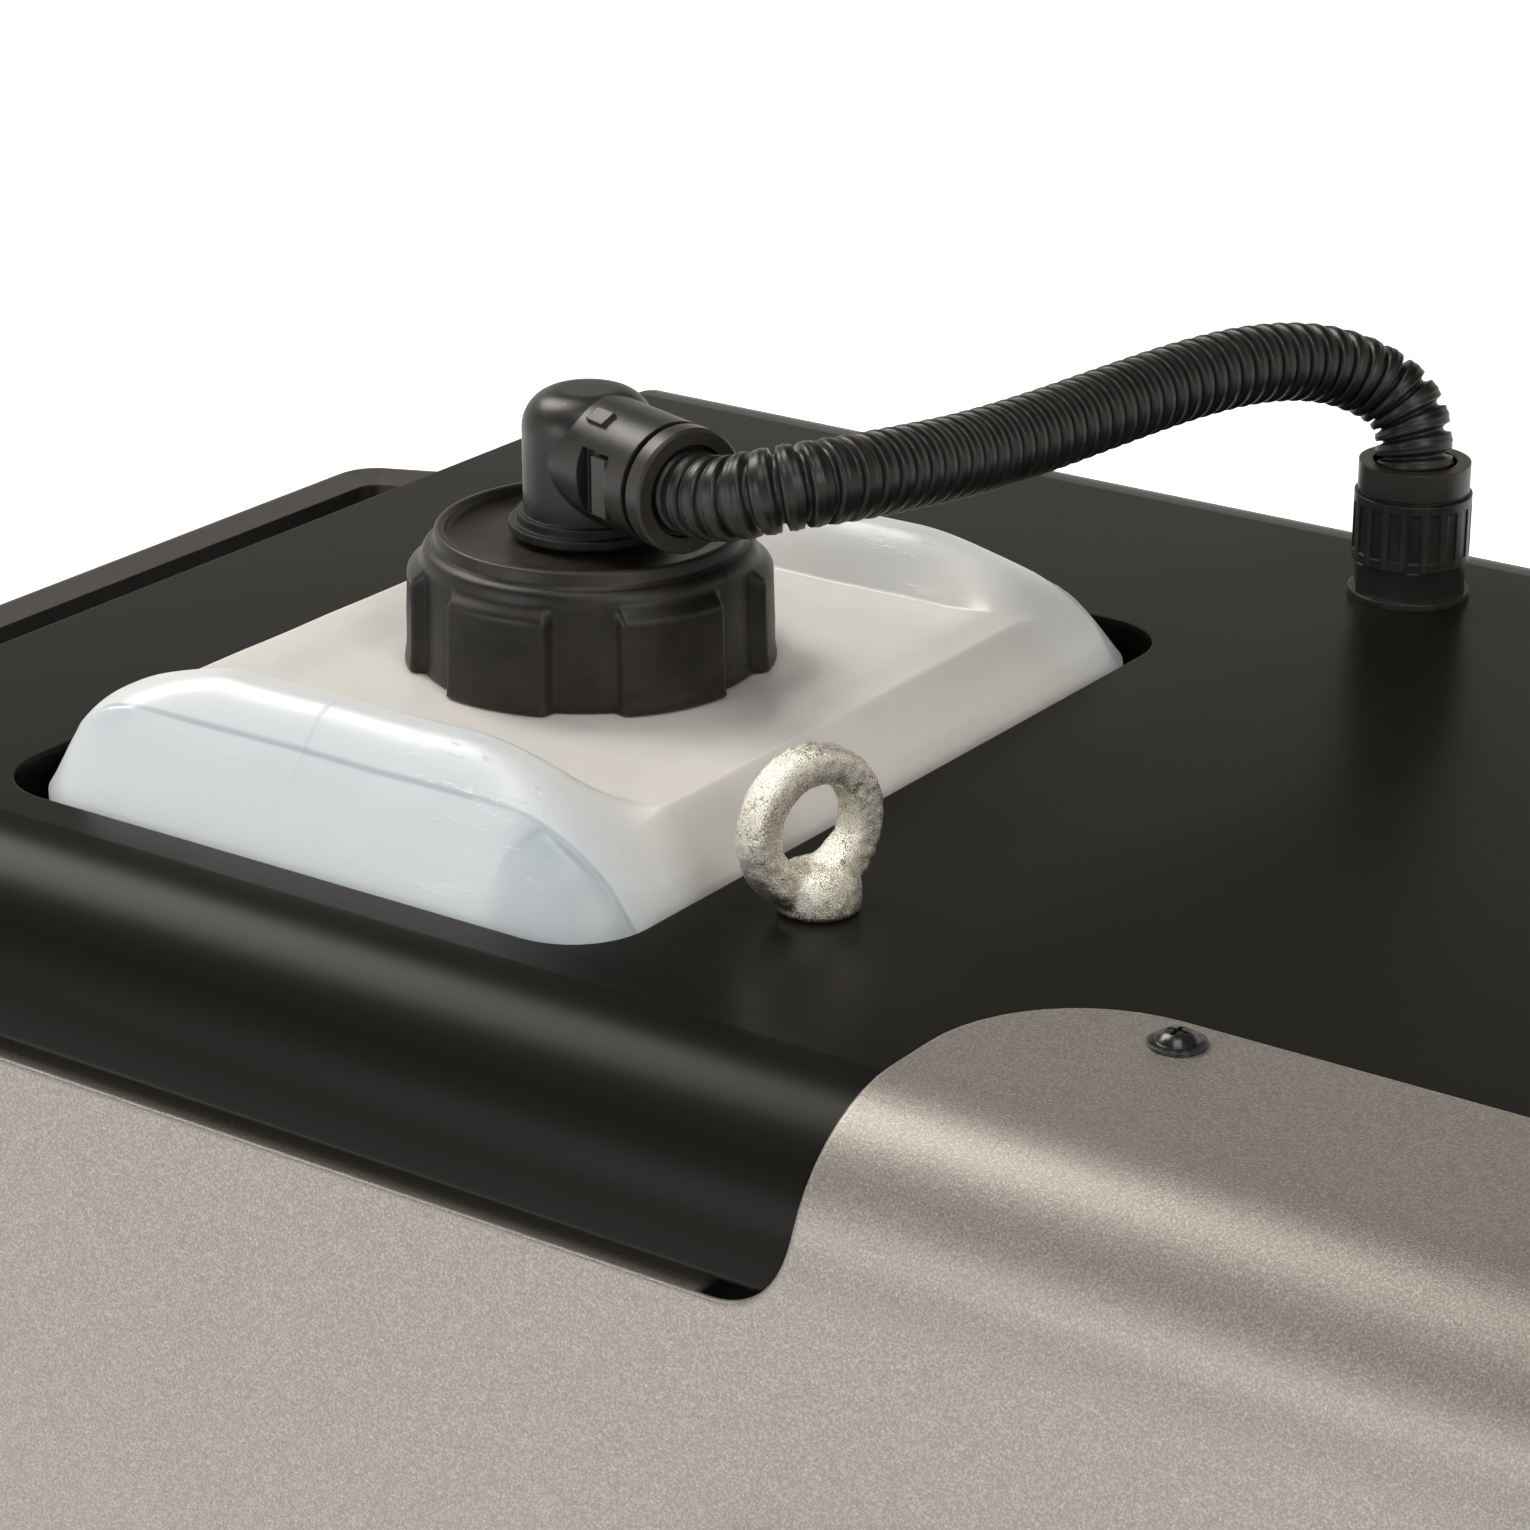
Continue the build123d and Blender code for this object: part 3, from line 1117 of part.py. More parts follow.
# --- air filter at the back -----------------------------------------------------------------------------
FILTER_HALF, FILTER_H, RAIL_Z = 86.0, 340.0, 128.0
with BuildPart() as filter_rails:
    for side in (-1, 1):
        x = FILTER_X + side * (FILTER_HALF + 0.4)
        foot = FILTER_X + side * (FILTER_HALF + 3)
        wall = flat_box((min(x, foot), BACK_Y + FIT, RAIL_Z), (max(x, foot), BACK_Y + 15, RAIL_Z + 350))
        lip_end = x - side * 6
        lip_low, lip_high = min(foot, lip_end), max(foot, lip_end)
        add(wall)
        add(flat_box((lip_low, BACK_Y + 13.2, RAIL_Z), (lip_high, BACK_Y + 15, RAIL_Z + 350)))
    add(flat_box((FILTER_X - 89, BACK_Y + FIT, RAIL_Z), (FILTER_X + 89, BACK_Y + 15, RAIL_Z + 2)))
pieces["filter_rails"] = filter_rails

with BuildPart() as filter_frame:
    with BuildSketch(Plane.XZ.offset(-BACK_Y - 12.8)):
        with Locations((FILTER_X, RAIL_Z + 2.3 + FILTER_H / 2)):
            Rectangle(2 * FILTER_HALF, FILTER_H)
            Rectangle(2 * FILTER_HALF - 20, FILTER_H - 20, mode=Mode.SUBTRACT)
            Rectangle(2 * FILTER_HALF - 10, 4)
            with GridLocations(50, 1, 3, 1):
                Rectangle(4, FILTER_H - 10)
    extrude(amount=3)
    with BuildSketch(Plane.XZ.offset(-BACK_Y - 9.8)):
        with Locations((FILTER_X, RAIL_Z + 2.3 + FILTER_H / 2)):
            Rectangle(2 * FILTER_HALF, FILTER_H)
            Rectangle(2 * FILTER_HALF - 6, FILTER_H - 6, mode=Mode.SUBTRACT)
    extrude(amount=9)
    grip_z = RAIL_Z + 2.3 + FILTER_H
    add(flat_box((FILTER_X - 22, BACK_Y + 4, grip_z - 1), (FILTER_X + 22, BACK_Y + 8, grip_z + 14)))
    fillet(filter_frame.edges().filter_by(Axis.Y).group_by(Axis.Z)[-1], 5)
pieces["filter_frame"] = filter_frame

with BuildPart() as filter_medium:
    low = (FILTER_X - FILTER_HALF + 3.2, BACK_Y + 1.2, RAIL_Z + 5.5)
    high = (FILTER_X + FILTER_HALF - 3.2, BACK_Y + 9.6, RAIL_Z + FILTER_H - 1)
    add(flat_box(low, high))
pieces["filter_medium"] = filter_medium

os.makedirs("parts", exist_ok=True)
for name, piece in pieces.items():
    piece.part.label = name
    export_step(piece.part, f"parts/{name}.step")
print(len(pieces), "nodes")
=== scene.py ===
"""Looks of a site dehumidifier: studio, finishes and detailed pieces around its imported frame."""

import json
import logging
import math
from dataclasses import dataclass
from enum import Enum
from typing import Callable, Dict, List, Optional, Sequence, Tuple, Union

import bmesh
import bpy
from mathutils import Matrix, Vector, noise


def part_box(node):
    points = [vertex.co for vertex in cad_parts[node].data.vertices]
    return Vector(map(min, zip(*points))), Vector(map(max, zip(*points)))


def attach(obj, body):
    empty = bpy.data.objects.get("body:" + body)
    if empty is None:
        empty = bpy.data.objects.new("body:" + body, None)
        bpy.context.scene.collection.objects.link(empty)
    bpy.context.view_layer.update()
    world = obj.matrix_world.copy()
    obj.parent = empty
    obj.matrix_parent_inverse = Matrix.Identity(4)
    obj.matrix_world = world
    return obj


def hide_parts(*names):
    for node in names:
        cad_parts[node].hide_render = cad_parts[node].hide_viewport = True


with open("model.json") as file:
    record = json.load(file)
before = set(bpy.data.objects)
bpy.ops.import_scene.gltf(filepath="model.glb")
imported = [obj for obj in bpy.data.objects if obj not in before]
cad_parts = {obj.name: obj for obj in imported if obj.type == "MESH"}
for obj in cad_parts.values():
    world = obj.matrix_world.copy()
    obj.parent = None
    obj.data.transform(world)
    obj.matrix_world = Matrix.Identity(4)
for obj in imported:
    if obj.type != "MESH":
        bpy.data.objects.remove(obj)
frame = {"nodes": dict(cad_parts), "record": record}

LOG = logging.getLogger("dehumidifier")
MM = 0.001
DECK = 0.570
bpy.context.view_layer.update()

Colour = Tuple[float, float, float]
Point = Tuple[float, float, float]


# --- shader graphs ---------------------------------------------------------------------------------------


class Wire:
    """One output of a shader node. Arithmetic on it adds Math nodes."""

    def __init__(self, graph: "Graph", socket: bpy.types.NodeSocket) -> None:
        """Keeps the graph and the socket.

        Args:
            graph: the graph that new nodes go into.
            socket: the output that this wire starts from.
        """
        self.graph = graph
        self.socket = socket

    def _math(self, operation: str, left: "Feed", right: "Feed") -> "Wire":
        """Adds one Math node.

        Args:
            operation: the node's operation.
            left: its first value.
            right: its second value.

        Returns:
            The node's result.
        """
        return self.graph.node("ShaderNodeMath", {"operation": operation}, {0: left, 1: right})

    def __add__(self, other: "Feed") -> "Wire":
        """This wire plus other."""
        return self._math("ADD", self, other)

    def __radd__(self, other: "Feed") -> "Wire":
        """Other plus this wire."""
        return self._math("ADD", other, self)

    def __sub__(self, other: "Feed") -> "Wire":
        """This wire minus other."""
        return self._math("SUBTRACT", self, other)

    def __rsub__(self, other: "Feed") -> "Wire":
        """Other minus this wire."""
        return self._math("SUBTRACT", other, self)

    def __mul__(self, other: "Feed") -> "Wire":
        """This wire times other."""
        return self._math("MULTIPLY", self, other)

    def __rmul__(self, other: "Feed") -> "Wire":
        """Other times this wire."""
        return self._math("MULTIPLY", other, self)

    def __abs__(self) -> "Wire":
        """This wire without its sign."""
        return self.graph.node("ShaderNodeMath", {"operation": "ABSOLUTE"}, {0: self})


Feed = Union[Wire, float, Sequence[float]]


class Graph:
    """A node tree with its shader and the calls that fill it."""

    def __init__(self, owner: Union[bpy.types.Material, bpy.types.World], shader: str, place: str) -> None:
        """Starts the tree of a material or a world.

        Args:
            owner: the material or the world.
            shader: the name of its shader node.
            place: the texture coordinate that places everything in it.
        """
        owner.use_nodes = True
        self.tree = owner.node_tree
        self.shader = self.tree.nodes[shader]
        self.place = self.node("ShaderNodeTexCoord", output=place)

    @classmethod
    def surface(cls, material: bpy.types.Material) -> "Graph":
        """The graph of a material, read by the object's own place."""
        return cls(material, "Principled BSDF", "Object")

    def node(
        self,
        kind: str,
        settings: Optional[Dict[str, object]] = None,
        inputs: Optional[Dict[Union[str, int], Feed]] = None,
        output: Union[str, int] = 0,
    ) -> Wire:
        """Adds a node of any type.

        Args:
            kind: the node's type.
            settings: its properties, set before its sockets; "stops" are a ramp's (position, colour) pairs.
            inputs: the values or wires of its sockets, by name or number.
            output: the output to return.

        Returns:
            A wire from that output.
        """
        made = self.tree.nodes.new(kind)
        for name, value in (settings or {}).items():
            if name == "stops":
                self._set_stops(made.color_ramp, value)
            else:
                setattr(made, name, value)
        for key, value in (inputs or {}).items():
            if isinstance(value, Wire):
                self.tree.links.new(value.socket, made.inputs[key])
            else:
                made.inputs[key].default_value = value
        return Wire(self, made.outputs[output])

    @staticmethod
    def _set_stops(ramp: bpy.types.ColorRamp, stops: Sequence[Tuple[float, Colour]]) -> None:
        """Gives a colour ramp its stops.

        Args:
            ramp: the ramp.
            stops: position and colour of each stop, at least two.
        """
        while len(ramp.elements) < len(stops):
            ramp.elements.new(0.5)
        for element, (position, colour) in zip(ramp.elements, stops):
            element.position = position
            element.color = (*colour, 1.0)

    def mix(self, mask: Feed, first: Feed, second: Feed) -> Wire:
        """Mixes two colours.

        Args:
            mask: 0 for the first colour, 1 for the second.
            first: the first colour.
            second: the second colour.

        Returns:
            The mixed colour.
        """
        ends = [(*end, 1.0) if isinstance(end, tuple) else end for end in (first, second)]
        sockets = {0: mask, 6: ends[0], 7: ends[1]}
        return self.node("ShaderNodeMix", {"data_type": "RGBA"}, sockets, output=2)

    def noise(
        self, scale: float, detail: float = 2.0, rough: float = 0.5, place: Optional[Wire] = None
    ) -> Wire:
        """Adds a noise texture.

        Args:
            scale: its scale, in features per metre.
            detail: its octaves.
            rough: how strong the finer octaves are.
            place: where it is read, the object's own place unless given.

        Returns:
            The noise, about 0.5.
        """
        sockets = {"Vector": place or self.place, "Scale": scale, "Detail": detail, "Roughness": rough}
        return self.node("ShaderNodeTexNoise", {}, sockets)

    def cells(self, scale: float, output: str = "Distance", feature: str = "F1") -> Wire:
        """Adds a cell texture.

        Args:
            scale: its scale, in cells per metre.
            output: the output to return.
            feature: what is measured in each cell.

        Returns:
            That output.
        """
        sockets = {"Vector": self.place, "Scale": scale}
        return self.node("ShaderNodeTexVoronoi", {"feature": feature}, sockets, output=output)

    def band(self, value: Feed, low: float, high: float, start: float = 0.0, end: float = 1.0) -> Wire:
        """Maps a value from one range to another, smoothly and clamped.

        Args:
            value: what is mapped.
            low: the value that gives start.
            high: the value that gives end.
            start: the lowest result.
            end: the highest result.

        Returns:
            The mapped value.
        """
        sockets = {"Value": value, "From Min": low, "From Max": high, "To Min": start, "To Max": end}
        return self.node("ShaderNodeMapRange", {"interpolation_type": "SMOOTHSTEP"}, sockets)

    def stretched(self, scale: Point) -> Wire:
        """The object's place with its axes scaled.

        Args:
            scale: the factor on each axis.

        Returns:
            The scaled place.
        """
        return self.node("ShaderNodeMapping", {}, {"Vector": self.place, "Scale": scale})

    def axis(self, letter: str) -> Wire:
        """One coordinate of the object's place, by its letter."""
        return self.node("ShaderNodeSeparateXYZ", {}, {0: self.place}, output=letter)

    def worn(self, low: float = 0.52, high: float = 0.62) -> Wire:
        """A mask that is 1 on outer edges.

        Args:
            low: the pointiness where wear starts.
            high: the pointiness where it is full.

        Returns:
            The mask.
        """
        return self.band(self.node("ShaderNodeNewGeometry", output="Pointiness"), low, high)

    def relief(self, height: Feed, depth: float, rounding: float = 0.0, strength: float = 1.0) -> None:
        """Feeds the shader's normal from a height and rounded edges.

        Args:
            height: the height, from 0 to 1.
            depth: the height's depth in metres.
            rounding: the radius of the rounded edges in metres, none at 0.
            strength: how strongly the height shows.
        """
        sockets: Dict[Union[str, int], Feed] = {"Height": height, "Distance": depth, "Strength": strength}
        if rounding:
            sockets["Normal"] = self.node("ShaderNodeBevel", {"samples": 4}, {"Radius": rounding})
        self.feed("Normal", self.node("ShaderNodeBump", {}, sockets))

    def feed(self, socket: str, value: Feed) -> None:
        """Sets or links one input of the shader.

        Args:
            socket: the input's name.
            value: a number, a colour or a wire.
        """
        if isinstance(value, Wire):
            self.tree.links.new(value.socket, self.shader.inputs[socket])
        elif isinstance(value, tuple) and len(value) == 3 and socket != "Subsurface Radius":
            self.shader.inputs[socket].default_value = (*value, 1.0)
        else:
            self.shader.inputs[socket].default_value = value


# --- finishes --------------------------------------------------------------------------------------------


@dataclass(frozen=True)
class Finish:
    """A finish of one colour pair with mottling, grain and rubbed edges. Other finishes add to it."""

    name: str
    colour: Colour
    shade: Colour
    roughness: float = 0.45
    spread: float = 0.1
    metallic: float = 0.0
    mottle: float = 60.0
    grain: float = 1400.0
    depth: float = 0.00003
    edge: Colour = (0.1, 0.1, 0.1)
    edge_mask: float = 0.25
    rounding: float = 0.0005
    specular: float = 0.5

    def make(self) -> bpy.types.Material:
        """Builds the material.

        Returns:
            The finished material.
        """
        material = bpy.data.materials.new(self.name)
        graph = Graph.surface(material)
        graph.feed("Metallic", self.metallic)
        graph.feed("Specular IOR Level", self.specular)
        self.dress(graph)
        return material

    def dress(self, graph: Graph) -> None:
        """Fills the graph with this finish.

        Args:
            graph: the material's graph.
        """
        cloud = graph.noise(self.mottle, 4.0, 0.6)
        fine = graph.noise(self.grain, 2.0)
        base = graph.mix(graph.band(cloud, 0.3, 0.7), self.colour, self.shade)
        graph.feed("Base Color", graph.mix(graph.worn() * self.edge_mask, base, self.edge))
        graph.feed("Roughness", self.roughness + (cloud - 0.5) * self.spread + (fine - 0.5) * self.spread)
        graph.relief(fine, self.depth, self.rounding)


@dataclass(frozen=True)
class PowderCoat(Finish):
    """Powder coat: a faint orange peel over fine grain."""

    peel: float = 420.0

    def dress(self, graph: Graph) -> None:
        """Fills the graph with orange peel, grain and a faint dust.

        Args:
            graph: the material's graph.
        """
        peel = graph.noise(self.peel, 1.0)
        fine = graph.noise(self.grain, 3.0)
        dust = graph.band(graph.noise(self.mottle, 5.0, 0.65), 0.45, 0.8)
        base = graph.mix(dust * 0.35, self.colour, self.shade)
        graph.feed("Base Color", graph.mix(graph.worn() * self.edge_mask, base, self.edge))
        graph.feed("Roughness", self.roughness + (fine - 0.5) * self.spread + dust * 0.03)
        graph.relief(peel * 0.6 + fine * 0.4, self.depth, self.rounding)


@dataclass(frozen=True)
class FlakeCoat(Finish):
    """Metallic powder coat: light and dark flakes in a warm grey."""

    dark: Colour = (0.20, 0.185, 0.165)

    def dress(self, graph: Graph) -> None:
        """Fills the graph with flakes of two sizes.

        Args:
            graph: the material's graph.
        """
        flake = graph.noise(self.grain, 2.0, 0.7)
        fleck = graph.cells(self.grain * 0.8)
        cloud = graph.noise(self.mottle, 3.0)
        base = graph.mix(graph.band(flake, 0.38, 0.62), self.dark, self.colour)
        bright = graph.mix(graph.band(flake, 0.60, 0.70) * 0.8, base, self.shade)
        graph.feed("Base Color", graph.mix(graph.band(cloud, 0.2, 0.9) * 0.12, bright, self.edge))
        graph.feed("Roughness", self.roughness + (flake - 0.5) * self.spread)
        graph.relief(flake * 0.7 + fleck * 0.3, self.depth, self.rounding)


@dataclass(frozen=True)
class Metal(Finish):
    """Rolled, plated or drawn metal with spangle and fine lines."""

    lines: Point = (1.0, 1.0, 12.0)

    def dress(self, graph: Graph) -> None:
        """Fills the graph with spangle patches and drawn lines.

        Args:
            graph: the material's graph.
        """
        patch = graph.cells(self.mottle, output="Color")
        tone = graph.node("ShaderNodeRGBToBW", {}, {0: patch})
        drawn = graph.noise(self.grain, 3.0, 0.6, graph.stretched(self.lines))
        graph.feed("Base Color", graph.mix(tone * 0.5 + drawn * 0.5, self.colour, self.shade))
        graph.feed("Roughness", self.roughness + (tone - 0.5) * self.spread + (drawn - 0.5) * self.spread)
        graph.relief(drawn, self.depth, self.rounding)


@dataclass(frozen=True)
class CastZinc(Finish):
    """Hot-dipped zinc on a rough casting: glittering grains, dark pits and a warm bloom."""

    pit: Colour = (0.10, 0.095, 0.085)

    def dress(self, graph: Graph) -> None:
        """Fills the graph with glitter, pits and runs.

        Args:
            graph: the material's graph.
        """
        grain = graph.noise(self.grain, 6.0, 0.75)
        run = graph.noise(self.mottle, 4.0, 0.6)
        spark = graph.cells(self.grain * 1.3)
        base = graph.mix(graph.band(run, 0.35, 0.7), self.colour, self.shade)
        pits = graph.band(grain + (run - 0.5) * 0.5, 0.46, 0.36)
        graph.feed("Base Color", graph.mix(pits, base, self.pit))
        graph.feed("Roughness", self.roughness + (grain - 0.5) * self.spread)
        graph.relief(grain * 0.6 + spark * 0.25 + run * 0.15, self.depth, 0.0)


@dataclass(frozen=True)
class Polyethylene(Finish):
    """Natural blow-moulded polyethylene: milky, with a painted cool tint of the front light on both ends,
    painted shade by the crease and in the dent, scuffed along its crests.
    """

    # painted cool tint of the front light, laid over the ridges at both ends
    cool_light_tint: Colour = (0.60, 0.65, 0.695)
    # painted shade under the upper tier, in the dent and along the crease; also the darker weld seam
    shade_and_seam: Colour = (0.33, 0.39, 0.43)
    # where the painted cool light over the ends starts, away from the middle
    cool_light_from: float = 0.062
    middle: Tuple[float, float] = (-0.0888, -0.032)
    crease_at: float = 0.0799
    weld_at: float = -0.0952
    line_width: float = 0.0006

    def dress(self, graph: Graph) -> None:
        """Fills the graph with the milky body, the painted cool light on the ends, the painted shade by the
        crease and in the dent, scuffs and moulding ripple.

        Args:
            graph: the material's graph.
        """
        across = graph.axis("X")
        away = abs(graph.axis("Y") - self.middle[1])
        cloud = graph.noise(self.mottle, 4.0, 0.55)
        # mask of the painted cool light over both ends; the scuffs also keep to it
        cool_light_ends = graph.band(away + (cloud - 0.5) * 0.03, self.cool_light_from - 0.012, self.cool_light_from + 0.02)
        lower = graph.band(away, self.crease_at - 0.0004, self.crease_at + 0.0002)
        scuff = graph.noise(300.0, 5.0, 0.7, graph.stretched((0.35, 1.6, 1.0)))
        patches = graph.band(scuff, 0.56, 0.66) * graph.band(cloud, 0.40, 0.55)
        right = graph.band(across, self.middle[0] + 0.010, self.middle[0] + 0.030)
        marks = patches * cool_light_ends * right * (1.0 - lower * 0.8)
        # painted shade on the top of the lower tier, under the overhanging upper tier
        under = lower * graph.band(graph.axis("Z"), DECK + 0.002, DECK + 0.013)
        # painted shade over the dent beyond the crescent crease
        dented = lower * graph.band(across, self.middle[0] + 0.041, self.middle[0] + 0.048)
        # painted shadow line along the crease under the upper tier
        crease = graph.band(abs(away - self.crease_at), self.line_width, 0.0001)
        seam = graph.band(abs(across - self.weld_at), self.line_width, 0.0001)
        weld = seam * graph.band(away, 0.069, 0.072) * (1.0 - lower * 0.6)
        body = graph.mix(graph.band(cloud, 0.3, 0.75), self.colour, self.shade)
        # paints the cool light over both ends
        base = graph.mix(cool_light_ends * 0.75, body, self.cool_light_tint)
        # paints the shade under the upper tier and over the dent
        shaded = graph.mix(under * 0.30 + dented * 0.45, base, self.shade_and_seam)
        # paints the shadow line along the crease, and the real darker weld seam
        lined = graph.mix(crease * 0.55 + weld * 0.12, shaded, self.shade_and_seam)
        graph.feed("Base Color", graph.mix(marks * 0.6, lined, self.edge))
        graph.feed("Roughness", self.roughness + (cloud - 0.5) * self.spread + marks * 0.25)
        graph.feed("Subsurface Weight", 0.55)
        graph.feed("Subsurface Radius", (1.0, 1.0, 1.15))
        graph.feed("Subsurface Scale", 0.006)
        graph.feed("IOR", 1.51)
        ripple = graph.noise(45.0, 2.0) * 0.7 + scuff * marks * 0.5
        fine = weld * 0.25 + graph.noise(self.grain, 2.0) * 0.05
        graph.relief(ripple + fine, self.depth, self.rounding)


@dataclass(frozen=True)
class Moulding(Finish):
    """Black engineering plastic: brownish, with dust specks, greyer on rubbed edges, with flow lines."""

    dust: Colour = (0.07, 0.06, 0.05)

    def dress(self, graph: Graph) -> None:
        """Fills the graph with flow lines, dust and rubbed edges.

        Args:
            graph: the material's graph.
        """
        cloud = graph.noise(self.mottle, 5.0, 0.6)
        fine = graph.noise(self.grain, 3.0, 0.65)
        flow = graph.noise(180.0, 3.0, 0.6, graph.stretched((1.0, 1.0, 0.2)))
        base = graph.mix(graph.band(cloud, 0.35, 0.7), self.colour, self.shade)
        specks = graph.band(fine, 0.66, 0.74) * graph.band(cloud, 0.45, 0.6)
        dusty = graph.mix(specks * 0.8, base, self.dust)
        graph.feed("Base Color", graph.mix(graph.worn() * self.edge_mask, dusty, self.edge))
        graph.feed("Roughness", self.roughness + (cloud - 0.5) * self.spread + (flow - 0.5) * self.spread)
        graph.relief(fine * 0.6 + flow * 0.4, self.depth, self.rounding)


@dataclass(frozen=True)
class Foam(Finish):
    """Open-cell foam: painted shade in the cells between lighter strands."""

    def dress(self, graph: Graph) -> None:
        """Fills the graph with cells.

        Args:
            graph: the material's graph.
        """
        cells = graph.cells(self.grain, feature="DISTANCE_TO_EDGE")
        # 1 inside the cells, where shade is painted; 0 on the lighter strands
        wall = graph.band(cells, 0.02, 0.22)
        cloud = graph.noise(self.mottle, 4.0)
        graph.feed("Base Color", graph.mix(wall, self.colour, self.shade))
        graph.feed("Roughness", self.roughness + (cloud - 0.5) * self.spread)
        graph.relief(1.0 - wall, self.depth, 0.0)


@dataclass(frozen=True)
class Glow(Finish):
    """A small moulded lens."""

    def dress(self, graph: Graph) -> None:
        """Fills the graph with a clear coat over a clouded colour.

        Args:
            graph: the material's graph.
        """
        cloud = graph.noise(self.mottle, 3.0)
        facets = graph.cells(self.grain)
        graph.feed("Base Color", graph.mix(graph.band(cloud, 0.3, 0.7), self.colour, self.shade))
        graph.feed("Roughness", self.roughness + (cloud - 0.5) * self.spread)
        graph.feed("Coat Weight", 0.8)
        graph.relief(facets, self.depth, self.rounding)


FINISHES: Dict[str, Finish] = {
    finish.name: finish
    for finish in (
        PowderCoat(
            "black_powder_coat", (0.0042, 0.0038, 0.0031), (0.0075, 0.0066, 0.0054), roughness=0.30,
            spread=0.08, mottle=14.0, grain=2600.0, depth=0.00002, edge=(0.03, 0.027, 0.023),
            edge_mask=0.2, rounding=0.0006, specular=0.07,
        ),
        FlakeCoat(
            "grey_metallic_coat", (0.31, 0.285, 0.255), (0.44, 0.41, 0.37), roughness=0.40, spread=0.15,
            metallic=0.45, mottle=9.0, grain=2600.0, depth=0.00004, edge=(0.40, 0.37, 0.33),
            rounding=0.0005,
        ),
        Metal(
            "grey_sheet", (0.42, 0.43, 0.44), (0.58, 0.59, 0.60), roughness=0.38, spread=0.14,
            metallic=0.9, mottle=130.0, grain=500.0, rounding=0.0004,
        ),
        Polyethylene(
            "natural_polyethylene", (0.70, 0.68, 0.645), (0.63, 0.615, 0.585), roughness=0.33,
            spread=0.12, mottle=22.0, grain=900.0, depth=0.0006, edge=(0.86, 0.86, 0.84), rounding=0.0,
        ),
        Moulding(
            "black_polypropylene", (0.009, 0.0075, 0.006), (0.018, 0.015, 0.012), roughness=0.42,
            spread=0.16, mottle=110.0, grain=1700.0, depth=0.00005, edge=(0.075, 0.062, 0.05),
            edge_mask=0.55, specular=0.32,
        ),
        Moulding(
            "black_nylon", (0.0075, 0.0066, 0.0058), (0.014, 0.0125, 0.011), roughness=0.38, spread=0.14,
            mottle=140.0, grain=1500.0, depth=0.00003, edge=(0.05, 0.045, 0.04), edge_mask=0.4,
            specular=0.42,
        ),
        Moulding(
            "grey_plastic", (0.10, 0.10, 0.10), (0.14, 0.14, 0.14), roughness=0.48, spread=0.12,
            mottle=50.0, grain=1200.0, edge=(0.24, 0.24, 0.24), dust=(0.2, 0.19, 0.18),
        ),
        Moulding(
            "white_plastic", (0.66, 0.66, 0.63), (0.56, 0.56, 0.53), roughness=0.40, spread=0.12,
            mottle=40.0, grain=1100.0, edge=(0.8, 0.8, 0.78), dust=(0.4, 0.37, 0.33),
        ),
        Glow(
            "amber_lens", (0.75, 0.25, 0.02), (0.55, 0.14, 0.01), roughness=0.2, spread=0.08,
            mottle=250.0, grain=1500.0, depth=0.00008,
        ),
        Moulding(
            "board_green", (0.02, 0.10, 0.045), (0.03, 0.16, 0.06), roughness=0.35, spread=0.2,
            mottle=160.0, grain=500.0, depth=0.00006, edge=(0.5, 0.42, 0.2), dust=(0.45, 0.4, 0.22),
        ),
        CastZinc(
            "zinc_cast", (0.95, 0.91, 0.80), (0.80, 0.77, 0.69), roughness=0.27, spread=0.35,
            metallic=1.0, mottle=260.0, grain=3600.0, depth=0.00026,
        ),
        Metal(
            "zinc_steel", (0.62, 0.62, 0.60), (0.74, 0.73, 0.68), roughness=0.30, spread=0.16,
            metallic=1.0, mottle=300.0, grain=700.0, rounding=0.0004,
        ),
        Moulding(
            "black_screw", (0.010, 0.010, 0.011), (0.018, 0.018, 0.019), roughness=0.24, spread=0.12,
            mottle=300.0, grain=900.0, depth=0.00003, edge=(0.12, 0.12, 0.12), edge_mask=0.4,
            rounding=0.0003,
        ),
        Moulding(
            "rubber", (0.018, 0.018, 0.018), (0.030, 0.029, 0.028), roughness=0.68, spread=0.14,
            mottle=90.0, grain=900.0, depth=0.00006, edge=(0.07, 0.07, 0.07), dust=(0.12, 0.11, 0.1),
        ),
        Moulding(
            "tyre", (0.014, 0.014, 0.014), (0.028, 0.027, 0.026), roughness=0.62, spread=0.18,
            mottle=70.0, grain=600.0, depth=0.00012, edge=(0.08, 0.078, 0.075), dust=(0.14, 0.13, 0.12),
        ),
        Metal(
            "copper", (0.80, 0.36, 0.20), (0.62, 0.25, 0.13), roughness=0.28, spread=0.2, metallic=1.0,
            mottle=140.0, grain=500.0, rounding=0.0003,
        ),
        Metal(
            "fins", (0.72, 0.73, 0.75), (0.56, 0.57, 0.59), roughness=0.34, spread=0.16, metallic=1.0,
            mottle=90.0, grain=900.0, lines=(1.0, 1.0, 0.1), rounding=0.0,
        ),
        PowderCoat(
            "compressor_black", (0.010, 0.010, 0.010), (0.018, 0.018, 0.018), roughness=0.22, spread=0.1,
            mottle=25.0, grain=900.0, depth=0.00006, edge=(0.06, 0.06, 0.06), rounding=0.001,
        ),
        Foam(
            "filter_foam", (0.075, 0.075, 0.078), (0.010, 0.010, 0.010), roughness=0.85, spread=0.1,
            mottle=50.0, grain=420.0, depth=0.0009,
        ),
    )
}


